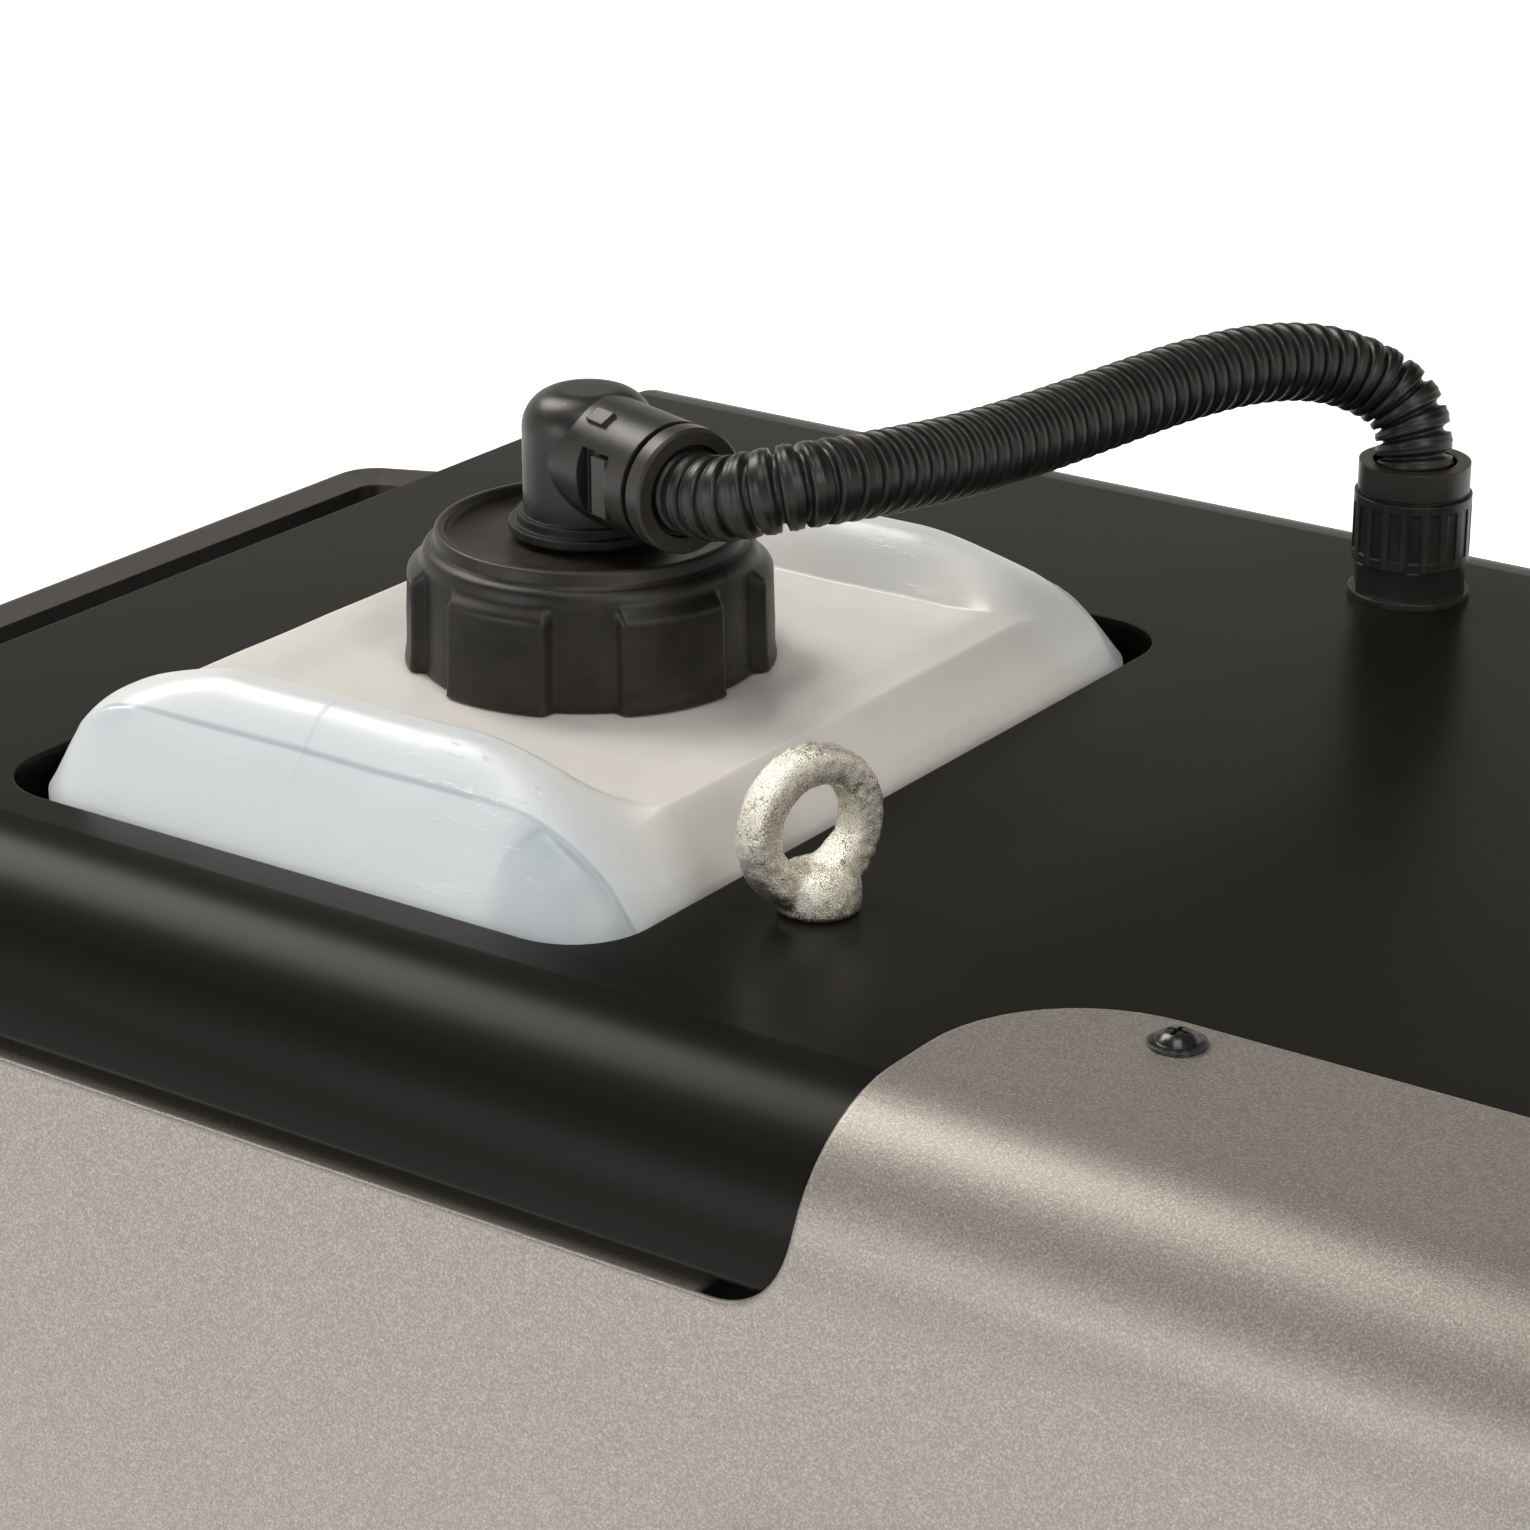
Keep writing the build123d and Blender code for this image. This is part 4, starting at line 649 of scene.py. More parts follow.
class Paintbox:
    """Makes each finish once and puts it on objects."""

    def __init__(self) -> None:
        """Starts with nothing made."""
        self.made: Dict[str, bpy.types.Material] = {}

    def finish(self, slot: str) -> bpy.types.Material:
        """The material of one slot, made when it is first asked for.

        Args:
            slot: the name of the slot.

        Returns:
            Its material.
        """
        if slot not in self.made:
            self.made[slot] = FINISHES[slot].make()
        return self.made[slot]

    def paint(self, thing: bpy.types.Object, slot: str) -> None:
        """Gives an object one finish all over.

        Args:
            thing: the object.
            slot: the finish's slot.
        """
        thing.data.materials.clear()
        thing.data.materials.append(self.finish(slot))


# --- mesh helpers ----------------------------------------------------------------------------------------


def smoothstep(value: float) -> float:
    """A smooth step from 0 to 1 over values from 0 to 1.

    Args:
        value: where on the step, clamped.

    Returns:
        The step's height.
    """
    held = min(max(value, 0.0), 1.0)
    return held * held * (3.0 - 2.0 * held)


def new_object(name: str, mesh: bpy.types.Mesh, smooth: bool = True) -> bpy.types.Object:
    """Puts a mesh into the scene.

    Args:
        name: the piece's name.
        mesh: its mesh.
        smooth: whether its faces are shaded smooth.

    Returns:
        The object.
    """
    made = bpy.data.objects.new(name, mesh)
    bpy.context.scene.collection.objects.link(made)
    for face in mesh.polygons:
        face.use_smooth = smooth
    return made


def rim_of(grid: Sequence[List[bmesh.types.BMVert]]) -> List[bmesh.types.BMVert]:
    """The vertices round the outside of a grid, in order.

    Args:
        grid: the grid's rows.

    Returns:
        The rim, each vertex once.
    """
    rim = grid[0][:-1] + [row[-1] for row in grid[:-1]]
    return rim + list(reversed(grid[-1][1:])) + [row[0] for row in reversed(grid[1:])]


def skin(loops: Sequence[Sequence[Vector]], ring: bool = True, caps: bool = False) -> bpy.types.Mesh:
    """Joins loops of equal length into one surface.

    Args:
        loops: the loops, each a list of points.
        ring: whether each loop closes on itself.
        caps: whether the first and last loop are filled.

    Returns:
        The mesh, with its faces turned outwards.
    """
    shape = bmesh.new()
    rows = [[shape.verts.new(point) for point in loop] for loop in loops]
    count = len(rows[0])
    for first, second in zip(rows, rows[1:]):
        for index in range(count if ring else count - 1):
            after = (index + 1) % count
            shape.faces.new((first[index], first[after], second[after], second[index]))
    if caps:
        shape.faces.new(rows[0])
        shape.faces.new(rows[-1])
    bmesh.ops.recalc_face_normals(shape, faces=shape.faces)
    mesh = bpy.data.meshes.new("skin")
    shape.to_mesh(mesh)
    shape.free()
    return mesh


def join(name: str, parts: Sequence[bpy.types.Mesh]) -> bpy.types.Object:
    """Joins several meshes into one piece.

    Args:
        name: the piece's name.
        parts: the meshes, which are removed.

    Returns:
        The object.
    """
    shape = bmesh.new()
    for part in parts:
        shape.from_mesh(part)
        bpy.data.meshes.remove(part)
    mesh = bpy.data.meshes.new(name)
    shape.to_mesh(mesh)
    shape.free()
    return new_object(name, mesh)


def apply_modifiers(thing: bpy.types.Object) -> None:
    """Applies an object's modifiers to its mesh.

    Args:
        thing: the object.
    """
    graph = bpy.context.evaluated_depsgraph_get()
    mesh = bpy.data.meshes.new_from_object(thing.evaluated_get(graph))
    thing.modifiers.clear()
    thing.data = mesh
    for face in mesh.polygons:
        face.use_smooth = True


def sample(span: Tuple[float, float], count: int) -> List[float]:
    """Evenly spaced numbers over a span.

    Args:
        span: the first and last number.
        count: how many steps.

    Returns:
        One more number than steps.
    """
    low, high = span
    return [low + (high - low) * step / count for step in range(count + 1)]


# --- hose ------------------------------------------------------------------------------------------------


@dataclass
class CorrugatedHose:
    """The condensate hose from the elbow on the screw cap to the fitting in the deck."""

    diameter: float = 0.0158
    groove: float = 0.0015
    groove_half: float = 0.08
    groove_slope: float = 0.12
    bead: float = 0.00016
    bead_from: float = 0.38
    bead_slope: float = 0.08
    pitch: float = 0.0040
    length: float = 0.215
    steps_per_ring: int = 16
    reach: int = 34
    around: int = 48
    route: Tuple[Point, ...] = (
        (-0.0610, -0.04359, 0.6210),
        (-0.0530, -0.04619, 0.6210),
        (-0.0450, -0.0466, 0.6238),
        (-0.0376, -0.0422, 0.6257),
        (-0.0330, -0.0330, 0.6255),
        (-0.0310, -0.0180, 0.6239),
        (-0.0295, 0.0020, 0.6217),
        (-0.0275, 0.0240, 0.6208),
        (-0.0250, 0.0460, 0.6209),
        (-0.0215, 0.0680, 0.6213),
        (-0.0166, 0.0880, 0.6210),
        (-0.0106, 0.1042, 0.6184),
        (-0.0032, 0.1139, 0.6135),
        (0.0039, 0.1162, 0.6080),
        (0.0070, 0.1135, 0.5996),
        (0.0070, 0.1135, 0.5906),
    )

    def line(self) -> List[Vector]:
        """Reads closely spaced points from the route's own spline.

        Returns:
            Points along the middle of the hose.
        """
        curve = bpy.data.curves.new("hose_line", "CURVE")
        curve.dimensions = "3D"
        curve.resolution_u = 24
        spline = curve.splines.new("NURBS")
        spline.points.add(len(self.route) - 1)
        for point, place in zip(spline.points, self.route):
            point.co = (*place, 1.0)
        spline.order_u = 3
        spline.use_endpoint_u = True
        holder = bpy.data.objects.new("hose_line", curve)
        mesh = bpy.data.meshes.new_from_object(holder)
        points = [vertex.co.copy() for vertex in mesh.vertices]
        bpy.data.objects.remove(holder)
        bpy.data.curves.remove(curve)
        bpy.data.meshes.remove(mesh)
        return points

    def spaced(self, points: Sequence[Vector], gap: float) -> List[Vector]:
        """Spaces points evenly along a line.

        Args:
            points: the line.
            gap: the distance between two points.

        Returns:
            The evenly spaced points.
        """
        result = [points[0].copy()]
        left = gap
        for start, end in zip(points, points[1:]):
            run = (end - start).length
            gone = 0.0
            while run - gone >= left:
                gone += left
                result.append(start.lerp(end, gone / run))
                left = gap
            left -= run - gone
        return result

    def radius_at(self, distance: float) -> float:
        """The hose's radius at a distance along it: broad flat rings with narrow round grooves.

        Args:
            distance: the distance from its start.

        Returns:
            The radius there.
        """
        off = abs((distance / self.pitch) % 1.0 - 0.5)
        dip = 1.0 - smoothstep((off - self.groove_half) / self.groove_slope)
        rise = self.bead * smoothstep((off - self.bead_from) / self.bead_slope)
        return self.diameter / 2.0 - self.bead - self.groove * dip + rise

    def build(self) -> Tuple[bpy.types.Object, List[Vector]]:
        """Builds the corrugated tube.

        Returns:
            The tube and the points that it follows.
        """
        gap = self.pitch / self.steps_per_ring
        path = self.spaced(self.line(), gap)
        side = Vector((0.0, 0.0, 1.0))
        loops: List[List[Vector]] = []
        for index, point in enumerate(path):
            ahead = path[min(index + self.reach, len(path) - 1)] - path[max(index - self.reach, 0)]
            ahead.normalize()
            side = (side - ahead * side.dot(ahead)).normalized()
            other = ahead.cross(side)
            radius = self.radius_at(index * gap)
            turns = [2.0 * math.pi * step / self.around for step in range(self.around)]
            rays = [side * math.cos(turn) + other * math.sin(turn) for turn in turns]
            loops.append([point + ray * radius for ray in rays])
        tube = new_object("condensate_hose_corrugated", skin(loops, caps=True))
        return tube, path

    def place(self, paints: Paintbox) -> None:
        """Puts the hose on its body with its finish, and logs how many points it follows.

        Args:
            paints: the finishes.
        """
        tube, path = self.build()
        paints.paint(tube, "black_nylon")
        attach(tube, "elbow_unit")
        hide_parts("condensate_hose")
        LOG.info("%s: %d points along it", tube.name, len(path))


# --- canister --------------------------------------------------------------------------------------------


@dataclass
class Canister:
    """The blow-moulded canister: a flat top between two stepped ridges, tall walls and a neck."""

    middle: Tuple[float, float] = (-88.8, -32.0)
    width: float = 136.4
    length: float = 190.0
    corner: float = 23.0
    bottom: float = -252.0
    shoulder: float = -3.0
    plate: float = 10.2
    side_slope: float = 0.92
    crest: float = 21.0
    tier: float = 14.2
    tier_end: float = 15.0
    crest_from: float = 24.0
    crest_flat: Tuple[float, float] = (29.0, 22.5)
    crest_bow: float = 0.0102
    crest_slope: float = 0.33
    crest_ease: float = 9.0
    crest_drop: float = 10.0
    crest_drop_reach: float = 39.5
    tier_flat: Tuple[float, float] = (44.0, 38.0)
    tier_reach: Tuple[float, float] = (22.0, 28.0)
    tier_power: Tuple[float, float] = (2.6, 2.05)
    crescent: float = 43.4
    crescent_bow: float = 0.055
    panel: float = 1.5
    heel: float = 8.0
    bulge: float = 0.08
    dent: float = 0.55
    lip: float = 0.22
    side_reach: float = 3.5
    crest_to: float = 26.5
    foot: float = 36.0
    neck: float = 27.0
    neck_top: float = 27.4
    columns: int = 230

    def half_width(self, y: float) -> float:
        """Half the width of the outline at a place along its length.

        Args:
            y: the distance from the middle, in millimetres.

        Returns:
            The half width, in millimetres.
        """
        into = abs(y) - (self.length / 2 - self.corner)
        if into <= 0.0:
            return self.width / 2
        return self.width / 2 - self.corner + math.sqrt(max(self.corner**2 - into**2, 0.0))

    def inset(self, x: float, y: float) -> float:
        """How far a point lies inside the outline.

        Args:
            x: the distance from the middle across, in millimetres.
            y: the distance from the middle along, in millimetres.

        Returns:
            The distance, in millimetres.
        """
        over_x = abs(x) - (self.width / 2 - self.corner)
        over_y = abs(y) - (self.length / 2 - self.corner)
        outside = math.hypot(max(over_x, 0.0), max(over_y, 0.0)) + min(max(over_x, over_y), 0.0)
        return max(self.corner - outside, 0.0)

    def crest_height(self, x: float) -> float:
        """The ridge's crest at a place across the canister: flat, then falling to both ends.

        Args:
            x: the distance from the middle, in millimetres.

        Returns:
            The height above the deck, in millimetres.
        """
        left = max(-self.crest_flat[0] - x, 0.0)
        right = max(x - self.crest_flat[1], 0.0)
        slope = self.crest_slope * (math.hypot(left, self.crest_ease) - self.crest_ease)
        drop = self.crest_drop * (left / self.crest_drop_reach) ** 6
        return self.crest - self.crest_bow * right**2 - slope - drop

    def tier_height(self, x: float) -> float:
        """The edge between the ridge's two tiers at a place across the canister.

        Args:
            x: the distance from the middle, in millimetres.

        Returns:
            The height above the deck, in millimetres.
        """
        left = min(max(-self.tier_flat[0] - x, 0.0) / self.tier_reach[0], 1.0)
        right = min(max(x - self.tier_flat[1], 0.0) / self.tier_reach[1], 1.0)
        return self.tier * (1.0 - right ** self.tier_power[1] - left ** self.tier_power[0])

    def top_height(self, x: float, y: float) -> float:
        """The height of the top at a point.

        Args:
            x: the distance from the middle across, in millimetres.
            y: the distance from the middle along, in millimetres.

        Returns:
            The height above the deck, in millimetres.
        """
        from_side = self.width / 2 - abs(x)
        from_end = self.length / 2 - abs(y)
        crown = 0.9 * smoothstep((abs(x) - 38.0) / 12.0)
        plate = min(self.plate + crown, self.side_slope * from_side)
        low = max(self.tier_height(x), 0.0)
        high = max(self.crest_height(x), low + 0.4)
        if from_end < self.tier_end:
            height = low - self.crescent_dip(x, from_end)
        elif from_end < self.crest_from:
            part = (from_end - self.tier_end) / (self.crest_from - self.tier_end)
            height = low + (high - low) * (1.0 - (1.0 - part) ** 2.0)
        elif from_end < self.crest_to:
            height = high
        else:
            part = min((from_end - self.crest_to) / (self.foot - self.crest_to), 1.0)
            height = high + (plate - high) * part**1.6
        height += 0.22 * noise.noise(Vector((x * 0.05, y * 0.05, 3.0)))
        return self.shoulder + (height - self.shoulder) * self.rounding(x, y)

    def crescent_dip(self, x: float, from_end: float) -> float:
        """How far the lower tier is dented beyond its crescent crease, with a fine lip on the crease.

        Args:
            x: the distance from the middle across, in millimetres.
            from_end: the distance from the end, in millimetres.

        Returns:
            The depth, in millimetres, negative on the lip.
        """
        past = x - (self.crescent + self.crescent_bow * (from_end - 7.0) ** 2)
        sunk = self.dent * smoothstep(past / 1.6 + 0.5) * smoothstep((66.0 - x) / 10.0)
        return sunk - self.lip * math.exp(-((past / 0.7) ** 2))

    def rounding(self, x: float, y: float) -> float:
        """How far the top has come up from the walls: quickly at the sides, slowly at the ends.

        Args:
            x: the distance from the middle across, in millimetres.
            y: the distance from the middle along, in millimetres.

        Returns:
            The share of the full height.
        """
        over_x = max(abs(x) - (self.width / 2 - self.corner), 0.0)
        over_y = max(abs(y) - (self.length / 2 - self.corner), 0.0)
        endwise = over_y / max(math.hypot(over_x, over_y), 0.001)
        reach = self.side_reach + (self.tier_end - self.side_reach) * endwise**2
        part = min(self.inset(x, y) / reach, 1.0)
        sideways = 1.0 - (1.0 - part) ** 2.4
        endways = part + self.bulge * math.sin(math.pi * part)
        return sideways + (endways - sideways) * endwise

    def rows(self) -> List[float]:
        """Places along the length where the top is sampled, closer together at the ridges.

        Returns:
            Distances from the middle, in millimetres.
        """
        half = self.length / 2
        steps = [half - 0.0, half - 0.15, half - 0.5]
        steps += [half - 1.0 - 0.5 * step for step in range(76)]
        steps += [half - 39.5 - 2.0 * step for step in range(27)]
        return [-value for value in steps] + [value for value in reversed(steps)]

    def column(self, index: int) -> float:
        """A place across the width, from -1 to 1, closer together towards both sides.

        Args:
            index: the column's number.

        Returns:
            The place.
        """
        even = 2.0 * index / self.columns - 1.0
        return math.sin(even * math.pi / 2) * 0.65 + even * 0.35

    def point(self, x: float, y: float, z: float) -> Vector:
        """A point in the shared frame, in metres, from millimetres about the middle of the canister."""
        return Vector(((self.middle[0] + x) * MM, (self.middle[1] + y) * MM, DECK + z * MM))

    def shell(self) -> bpy.types.Mesh:
        """The closed outer shell: top, walls with shallow panels, and bottom.

        Returns:
            The mesh.
        """
        shape = bmesh.new()
        grid: List[List[bmesh.types.BMVert]] = []
        for y in self.rows():
            half = self.half_width(y)
            across = [self.column(index) * half for index in range(self.columns + 1)]
            grid.append([shape.verts.new(self.point(x, y, self.top_height(x, y))) for x in across])
        for first, second in zip(grid, grid[1:]):
            for index in range(self.columns):
                shape.faces.new((first[index], first[index + 1], second[index + 1], second[index]))
        edge = rim_of(grid)
        heights = [-8.0, -20.0, -60.0, -66.0, -72.0, -120.0, -180.0, -228.0, -240.0]
        loops = [(height, 0.0) for height in heights]
        for turn in sample((0.2, 1.57), 6):
            height = self.bottom + self.heel * (1.0 - math.sin(turn))
            loops.append((height, self.heel * (1.0 - math.cos(turn))))
        above = edge
        centre = Vector((self.middle[0] * MM, self.middle[1] * MM, 0.0))
        for height, pull in loops:
            sunk = smoothstep((-height - 60.0) / 12.0) * smoothstep((height + 236.0) / 12.0)
            inward = pull + self.panel * sunk
            below = []
            for vertex in edge:
                flat = Vector((vertex.co.x, vertex.co.y, 0.0)) - centre
                shrink = 1.0 - inward * MM / flat.length
                level = Vector((0.0, 0.0, DECK + height * MM))
                below.append(shape.verts.new(centre + flat * shrink + level))
            for index in range(len(edge)):
                after = (index + 1) % len(edge)
                shape.faces.new((above[index], above[after], below[after], below[index]))
            above = below
        shape.faces.new(above)
        bmesh.ops.recalc_face_normals(shape, faces=shape.faces)
        mesh = bpy.data.meshes.new("shell")
        shape.to_mesh(mesh)
        shape.free()
        return mesh

    def neck_mesh(self, centre: Tuple[float, float]) -> bpy.types.Mesh:
        """The neck with its thread, under the screw cap.

        Args:
            centre: the neck's middle in the shared frame, in millimetres.

        Returns:
            The mesh.
        """
        profile = [(self.neck - 0.9, self.plate - 3.0)]
        for step in sample((self.plate + 2.0, self.neck_top - 2.0), 36):
            swell = 0.9 * (0.5 - 0.5 * math.cos(2 * math.pi * (step - self.plate) / 5.0))
            profile.append((self.neck - 0.9 + swell, step))
        profile += [(self.neck - 1.0, self.neck_top), (self.neck - 3.0, self.neck_top)]
        profile += [(self.neck - 3.2, self.plate + 4.0), (1.0, self.plate + 4.0)]
        return revolved(profile, centre, 96)

    def place(self, paints: Paintbox, neck_centre: Tuple[float, float]) -> None:
        """Puts the canister on its body with its finish.

        Args:
            paints: the finishes.
            neck_centre: the neck's middle, in millimetres.
        """
        made = join("canister_moulded", [self.shell(), self.neck_mesh(neck_centre)])
        paints.paint(made, "natural_polyethylene")
        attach(made, "canister_unit")
        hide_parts("canister")
        LOG.info("%s: %d faces", made.name, len(made.data.polygons))


def revolved(
    profile: Sequence[Tuple[float, float]],
    centre: Tuple[float, float],
    around: int,
    swell: Optional[Callable[[float, float], float]] = None,
) -> bpy.types.Mesh:
    """Turns a profile about an upright axis.

    Args:
        profile: radius and height above the deck of each point, in millimetres.
        centre: the axis in the shared frame, in millimetres.
        around: the number of steps around it.
        swell: extra radius in millimetres at a turn in radians and a height, if any.

    Returns:
        The mesh, closed at both ends.
    """
    loops = []
    for radius, height in profile:
        loop = []
        for step in range(around):
            turn = 2.0 * math.pi * step / around
            reach = radius + (swell(turn, height) if swell and radius > 30.0 else 0.0)
            spot = Vector((centre[0] + reach * math.cos(turn), centre[1] + reach * math.sin(turn), height))
            loop.append(spot * MM + Vector((0.0, 0.0, DECK)))
        loops.append(loop)
    return skin(loops, caps=True)


@dataclass
class ScrewCap:
    """The screw cap with six grip lobes, a raised milled ring and a recessed disc."""

    centre: Tuple[float, float] = (-90.5, -34.0)
    lobes: int = 6
    phase: float = -25.0
    lobe_half: float = 19.0
    lobe_height: float = 2.5
    lobe_top: float = 29.5
    base: float = 10.4
    around: int = 480

    def swell(self, turn: float, height: float) -> float:
        """The lobes' extra radius.

        Args:
            turn: the turn about the axis, in radians.
            height: the height above the deck, in millimetres.

        Returns:
            The extra radius, in millimetres.
        """
        period = 360.0 / self.lobes
        away = abs((math.degrees(turn) - self.phase + period / 2) % period - period / 2)
        side = smoothstep((self.lobe_half + 1.6 - away) / 3.6)
        top = smoothstep((self.lobe_top + 1.6 - height) / 3.2)
        return self.lobe_height * side * top + 0.12 * noise.noise(Vector((turn * 3.0, height * 0.2, 1.0)))

    def profile(self) -> List[Tuple[float, float]]:
        """Radius and height of the cap's section, from the inside of the skirt over the rim to the disc.

        Returns:
            The points, in millimetres.
        """
        points = [(10.1, 30.0), (28.8, 30.0), (29.0, self.base + 0.6), (29.4, self.base)]
        points += [(32.3, self.base), (32.8, self.base + 0.4), (32.6, self.base + 2.0)]
        points += [(32.5 - 0.5 * part, self.base + 2.0 + 17.6 * part) for part in sample((0.05, 1.0), 26)]
        for turn in sample((0.1, 1.57), 8):
            points.append((32.0 - 2.0 * (1 - math.cos(turn)), 30.2 + 3.2 * math.sin(turn)))
        points += [(29.9, 33.7), (29.5, 33.9), (29.3, 34.2), (29.2, 36.0), (28.9, 36.4), (28.4, 36.5)]
        points += [(27.9, 36.5), (27.4, 36.3), (27.2, 35.9), (27.0, 35.0), (26.5, 34.6), (20.0, 34.5)]
        points += [(16.5, 34.6), (10.1, 34.6)]
        return points

    def place(self, paints: Paintbox) -> None:
        """Puts the cap on its body with its finish.

        Args:
            paints: the finishes.
        """
        shell = revolved(self.profile(), self.centre, self.around, self.swell)
        made = join("screw_cap_moulded", [shell])
        paints.paint(made, "black_polypropylene")
        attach(made, "cap")
        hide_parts("screw_cap")
        LOG.info("%s: %d lobes", made.name, self.lobes)


# --- lifting eye -----------------------------------------------------------------------------------------


@dataclass
class LiftingEye:
    """The cast lifting eye: a ring that runs out over its shoulders into a round collar."""

    y: float = -90.0
    heading: float = -18.0
    ring_radius: float = 10.9
    wire: float = 3.4
    height: float = 15.3
    collar: float = 7.5
    lean: Tuple[float, float] = (-1.2, -0.8)
    voxel: float = 0.00045
    around: int = 96
    section_steps: int = 24
    squareness: Tuple[float, float] = (0.62, 0.6)
    lumps: Tuple[Tuple[float, float], ...] = ((0.16, 0.55), (0.09, 1.5), (0.05, 3.1))

    def ring(self) -> bpy.types.Mesh:
        """The ring, thicker towards its shoulders and bevelled inside.

        Returns:
            The mesh.
        """
        heading = math.radians(self.heading)
        across = Vector((-math.sin(heading), math.cos(heading), 0.0))
        ahead = Vector((math.cos(heading), math.sin(heading), 0.0))
        centre = Vector((self.lean[0], self.y + self.lean[1], self.height))
        loops = []
        for step in range(self.around):
            turn = 2.0 * math.pi * step / self.around
            outward = across * math.cos(turn) + Vector((0.0, 0.0, 1.0)) * math.sin(turn)
            heavy = 1.0 + 0.16 * smoothstep((-math.sin(turn) - 0.2) / 0.8)
            loop = []
            for piece in range(self.section_steps):
                spin = 2.0 * math.pi * piece / self.section_steps
                out = math.copysign(abs(math.cos(spin)) ** self.squareness[0], math.cos(spin))
                wide = 1.06 * math.copysign(abs(math.sin(spin)) ** self.squareness[1], math.sin(spin))
                middle = centre + outward * self.ring_radius
                thick = self.wire * heavy
                loop.append(middle + outward * out * thick + ahead * wide * 0.98 * thick)
            loops.append([point * MM + Vector((0.0, 0.0, DECK)) for point in loop])
        loops.append(loops[0])
        return skin(loops)

    def place(self, paints: Paintbox) -> None:
        """Fuses ring, shoulders and collar, roughens them and puts the eye on its body.

        Args:
            paints: the finishes.
        """
        collar = [(0.2, 0.05), (self.collar - 0.6, 0.05), (self.collar, 0.8), (self.collar + 0.05, 3.2)]
        collar += [(self.collar - 0.3, 5.4), (6.5, 7.2), (4.8, 8.2), (0.2, 8.3)]
        foot = revolved(collar, (0.0, self.y), 48)
        made = join("lifting_eye_cast", [self.ring(), foot])
        remesh = made.modifiers.new("fuse", "REMESH")
        remesh.mode = "VOXEL"
        remesh.voxel_size = self.voxel
        relax = made.modifiers.new("relax", "SMOOTH")
        relax.iterations = 7
        relax.factor = 0.5
        apply_modifiers(made)
        for vertex in made.data.vertices:
            spot = vertex.co * 1000.0
            rough = sum(height * noise.noise(spot * scale) for height, scale in self.lumps)
            if vertex.co.z > DECK + 0.6 * MM:
                vertex.co += vertex.normal * rough * MM
        paints.paint(made, "zinc_cast")
        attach(made, "cabinet")
        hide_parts("eyebolt")
        LOG.info("%s: %d faces", made.name, len(made.data.polygons))


# --- filter foam -----------------------------------------------------------------------------------------


@dataclass
class FilterPad:
    """The foam pad of the air filter, slightly crowned between the bars of its frame."""

    crown: float = 0.0007
    cell: float = 0.0035

    def place(self, paints: Paintbox) -> None:
        """Builds the pad in the space of its CAD solid and puts it on the filter frame.

        Args:
            paints: the finishes.
        """
        low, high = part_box("filter_medium")
        low, high = low + Vector((0.0004, 0.0003, 0.0004)), high - Vector((0.0004, 0.0003, 0.0004))
        size = high - low
        columns, levels = round(size.x / self.cell), round(size.z / self.cell)
        loops = []
        for face, sign in ((low.y, -1.0), (high.y, 1.0)):
            for level in range(levels + 1):
                row = []
                for column in range(columns + 1):
                    x, z = column / columns, level / levels
                    swell = math.sin(math.pi * x) ** 0.4 * math.sin(math.pi * z) ** 0.4
                    lump = noise.noise(Vector((x * 30.0, z * 50.0, sign)))
                    inward = self.crown * (1.0 - swell) + 0.0002 * (1.0 + lump)
                    row.append(Vector((low.x + x * size.x, face - sign * inward, low.z + z * size.z)))
                loops.append(row)
        half = levels + 1
        shape = bmesh.new()
        rows_of = [[shape.verts.new(point) for point in row] for row in loops]
        sheets = [rows_of[:half], rows_of[half:]]
        for rows in sheets:
            for first, second in zip(rows, rows[1:]):
                for index in range(columns):
                    shape.faces.new((first[index], first[index + 1], second[index + 1], second[index]))
        rims = [rim_of(rows) for rows in sheets]
        for index in range(len(rims[0])):
            after = (index + 1) % len(rims[0])
            shape.faces.new((rims[0][index], rims[0][after], rims[1][after], rims[1][index]))
        bmesh.ops.recalc_face_normals(shape, faces=shape.faces)
        mesh = bpy.data.meshes.new("filter_pad")
        shape.to_mesh(mesh)
        shape.free()
        made = new_object("filter_pad", mesh)
        paints.paint(made, "filter_foam")
        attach(made, "filter_cassette")
        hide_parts("filter_medium")
        LOG.info("%s: %d by %d cells", made.name, columns, levels)


# --- studio ----------------------------------------------------------------------------------------------


class Lamp(Enum):
    """The studio's soft lights: place, size, power and colour."""

    OVERHEAD = ((-1.45, 0.15, 2.20), (0.9, 1.2), 36.0, (1.0, 0.965, 0.90))
    FRONT = ((-0.90, -2.30, 1.30), (1.3, 0.9), 14.0, (0.92, 0.96, 1.0))
    RIGHT = ((1.70, -0.90, 1.90), (0.9, 0.9), 15.0, (1.0, 0.97, 0.92))
    TOP = ((0.35, -0.60, 2.60), (1.0, 1.0), 14.0, (1.0, 0.98, 0.95))


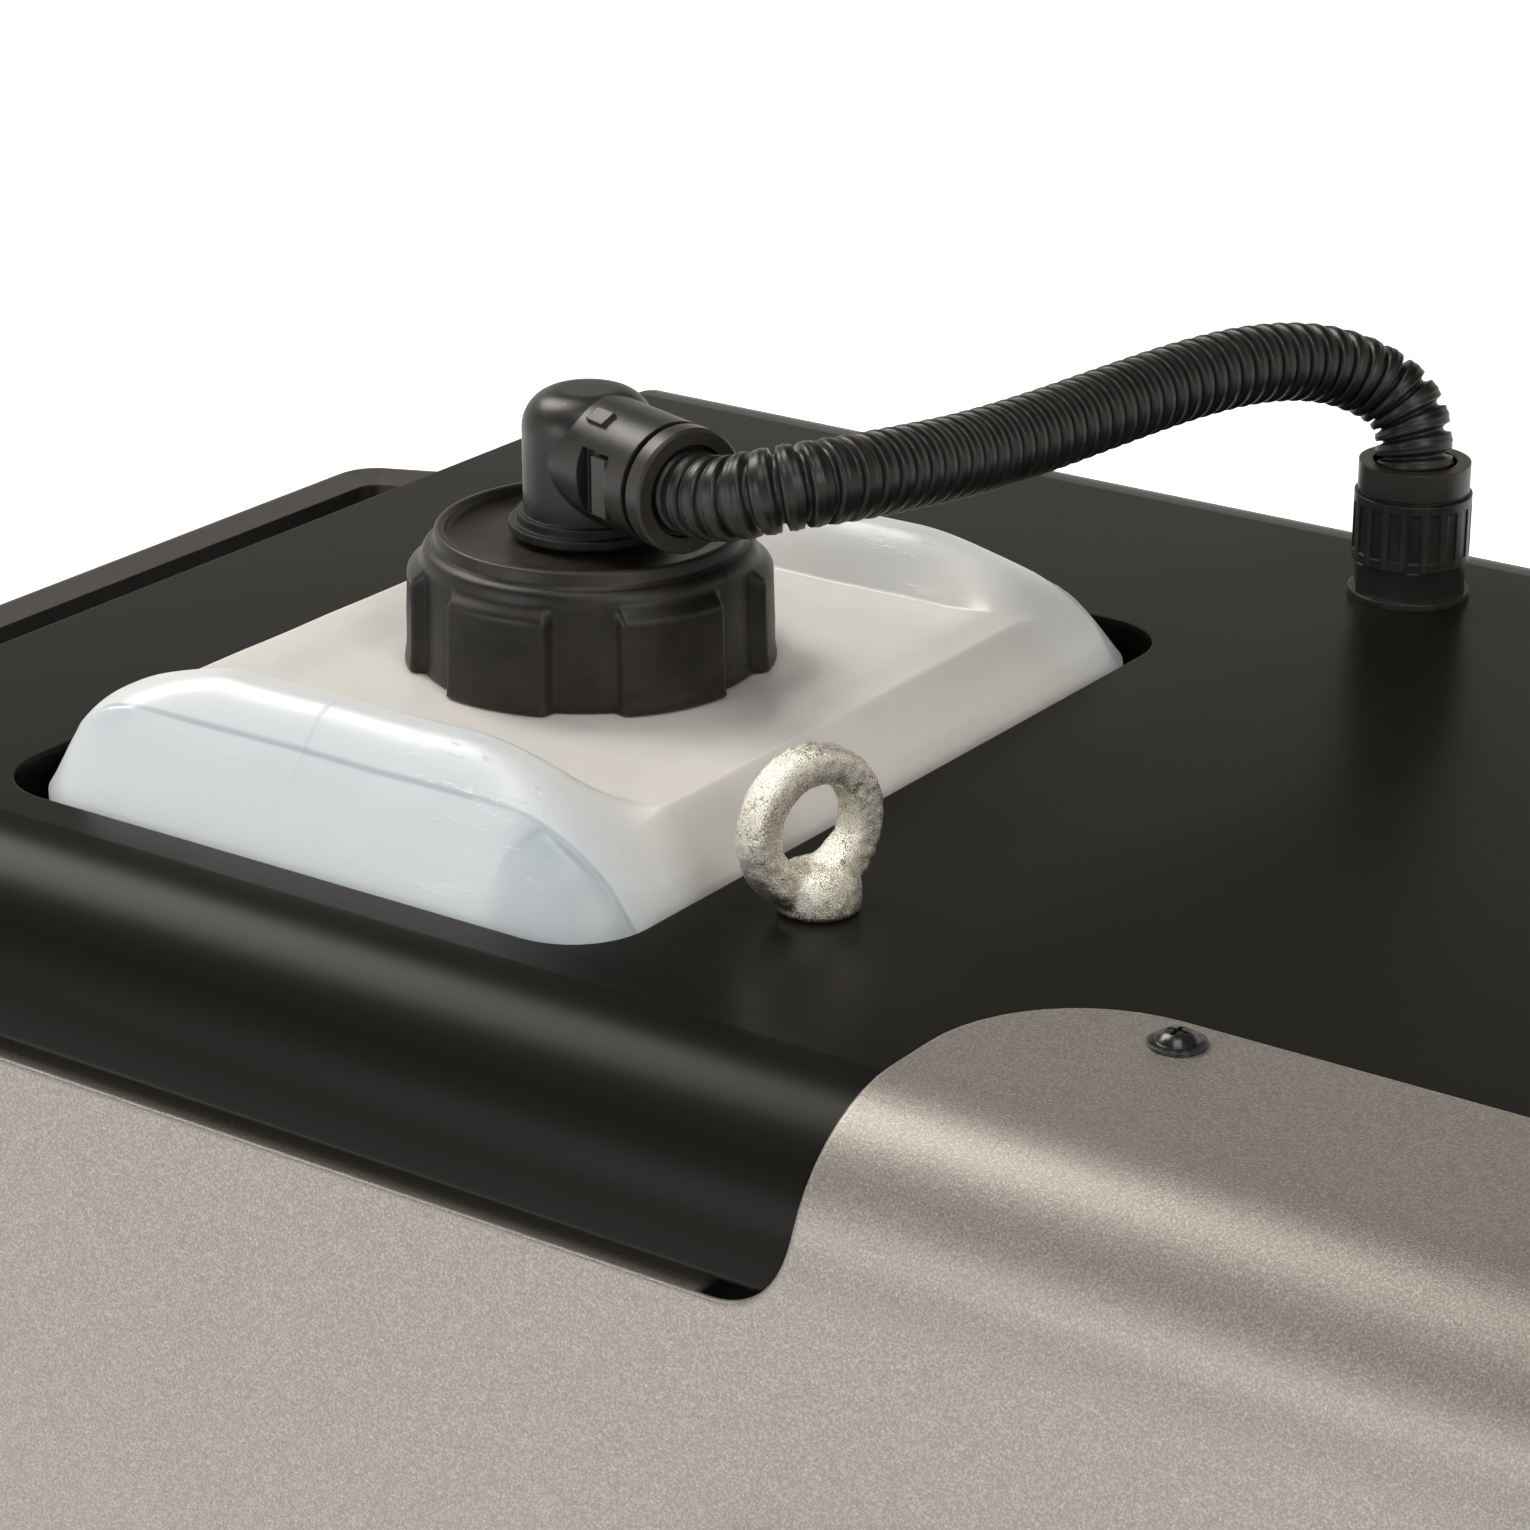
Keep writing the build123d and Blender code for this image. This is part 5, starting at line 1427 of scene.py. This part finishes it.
@dataclass
class Studio:
    """Floor, surroundings, soft lights and camera."""

    floor_size: float = 24.0
    target: Point = (-0.0455, -0.0408, DECK)
    distance: float = 0.8079
    azimuth: float = 35.0
    elevation: float = 21.5
    lens: float = 103.2
    floor_glow: float = 0.95
    sky_strength: float = 0.8
    sky: Tuple[Tuple[float, Colour], ...] = ((0.27, (1.0, 0.955, 0.87)), (0.43, (0.03, 0.03, 0.032)))

    def camera(self) -> None:
        """Aims the camera at the deck."""
        turn, tilt = math.radians(self.azimuth), math.radians(self.elevation)
        away = Vector((math.cos(tilt) * math.sin(turn), -math.cos(tilt) * math.cos(turn), math.sin(tilt)))
        data = bpy.data.cameras.new("camera")
        data.lens = self.lens
        data.sensor_width = 36.0
        data.clip_start = 0.01
        data.clip_end = 100.0
        holder = bpy.data.objects.new("camera", data)
        bpy.context.scene.collection.objects.link(holder)
        holder.location = Vector(self.target) + away * self.distance
        holder.rotation_euler = (math.radians(90.0 - self.elevation), 0.0, turn)
        bpy.context.scene.camera = holder

    def floor(self) -> None:
        """Lays the pale floor."""
        half = self.floor_size / 2
        corners = [Vector((x * half, y * half, 0.0)) for x, y in ((-1, -1), (1, -1), (1, 1), (-1, 1))]
        shape = bmesh.new()
        shape.faces.new([shape.verts.new(corner) for corner in corners])
        mesh = bpy.data.meshes.new("floor")
        shape.to_mesh(mesh)
        shape.free()
        laid = new_object("floor", mesh, smooth=False)
        material = bpy.data.materials.new("pale_floor")
        graph = Graph.surface(material)
        tone = graph.noise(2.0, 3.0)
        pale = graph.mix(graph.band(tone, 0.2, 0.8), (0.90, 0.90, 0.90), (0.92, 0.92, 0.91))
        graph.feed("Base Color", pale)
        graph.feed("Roughness", 0.9)
        graph.feed("Emission Color", (1.0, 1.0, 1.0))
        graph.feed("Emission Strength", self.floor_glow)
        laid.data.materials.append(material)

    def surroundings(self) -> None:
        """Sets the even light of the room, brighter towards the horizon."""
        world = bpy.data.worlds.new("studio")
        graph = Graph(world, "Background", "Generated")
        glow = graph.node("ShaderNodeValToRGB", {"stops": self.sky}, {"Fac": graph.axis("Z")})
        graph.feed("Color", glow)
        graph.feed("Strength", self.sky_strength)
        bpy.context.scene.world = world

    def lamps(self) -> None:
        """Hangs the soft lights, each aimed at the deck."""
        for lamp in Lamp:
            place, size, power, colour = lamp.value
            data = bpy.data.lights.new(lamp.name.lower(), "AREA")
            data.shape = "RECTANGLE"
            data.size, data.size_y = size
            data.energy = power
            data.color = colour
            holder = bpy.data.objects.new(lamp.name.lower(), data)
            bpy.context.scene.collection.objects.link(holder)
            holder.location = place
            away = Vector(place) - Vector(self.target)
            holder.rotation_euler = away.to_track_quat("Z", "Y").to_euler()

    def build(self) -> None:
        """Sets up the whole studio."""
        self.camera()
        self.floor()
        self.surroundings()
        self.lamps()
        bpy.context.scene.view_settings.view_transform = "Standard"
        LOG.info("studio: %d lights", len(Lamp))


# --- whole machine ---------------------------------------------------------------------------------------


@dataclass
class Machine:
    """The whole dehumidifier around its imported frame."""

    hose: CorrugatedHose
    canister: Canister
    cap: ScrewCap
    eye: LiftingEye
    pad: FilterPad

    def carry_over(self, paints: Paintbox) -> None:
        """Gives every CAD node the finish of its slot.

        Args:
            paints: the finishes.
        """
        for row in frame["record"]["subparts"]:
            paints.paint(frame["nodes"][row["node"]], row["material_slot"])

    def build(self, paints: Paintbox) -> None:
        """Builds the pieces and dresses the frame.

        Args:
            paints: the finishes.
        """
        self.carry_over(paints)
        self.hose.place(paints)
        self.canister.place(paints, self.cap.centre)
        self.cap.place(paints)
        self.eye.place(paints)
        self.pad.place(paints)


def main() -> None:
    logging.basicConfig(level=logging.INFO, format="%(message)s")
    Studio().build()
    Machine(CorrugatedHose(), Canister(), ScrewCap(), LiftingEye(), FilterPad()).build(Paintbox())


if __name__ == "__main__":
    main()
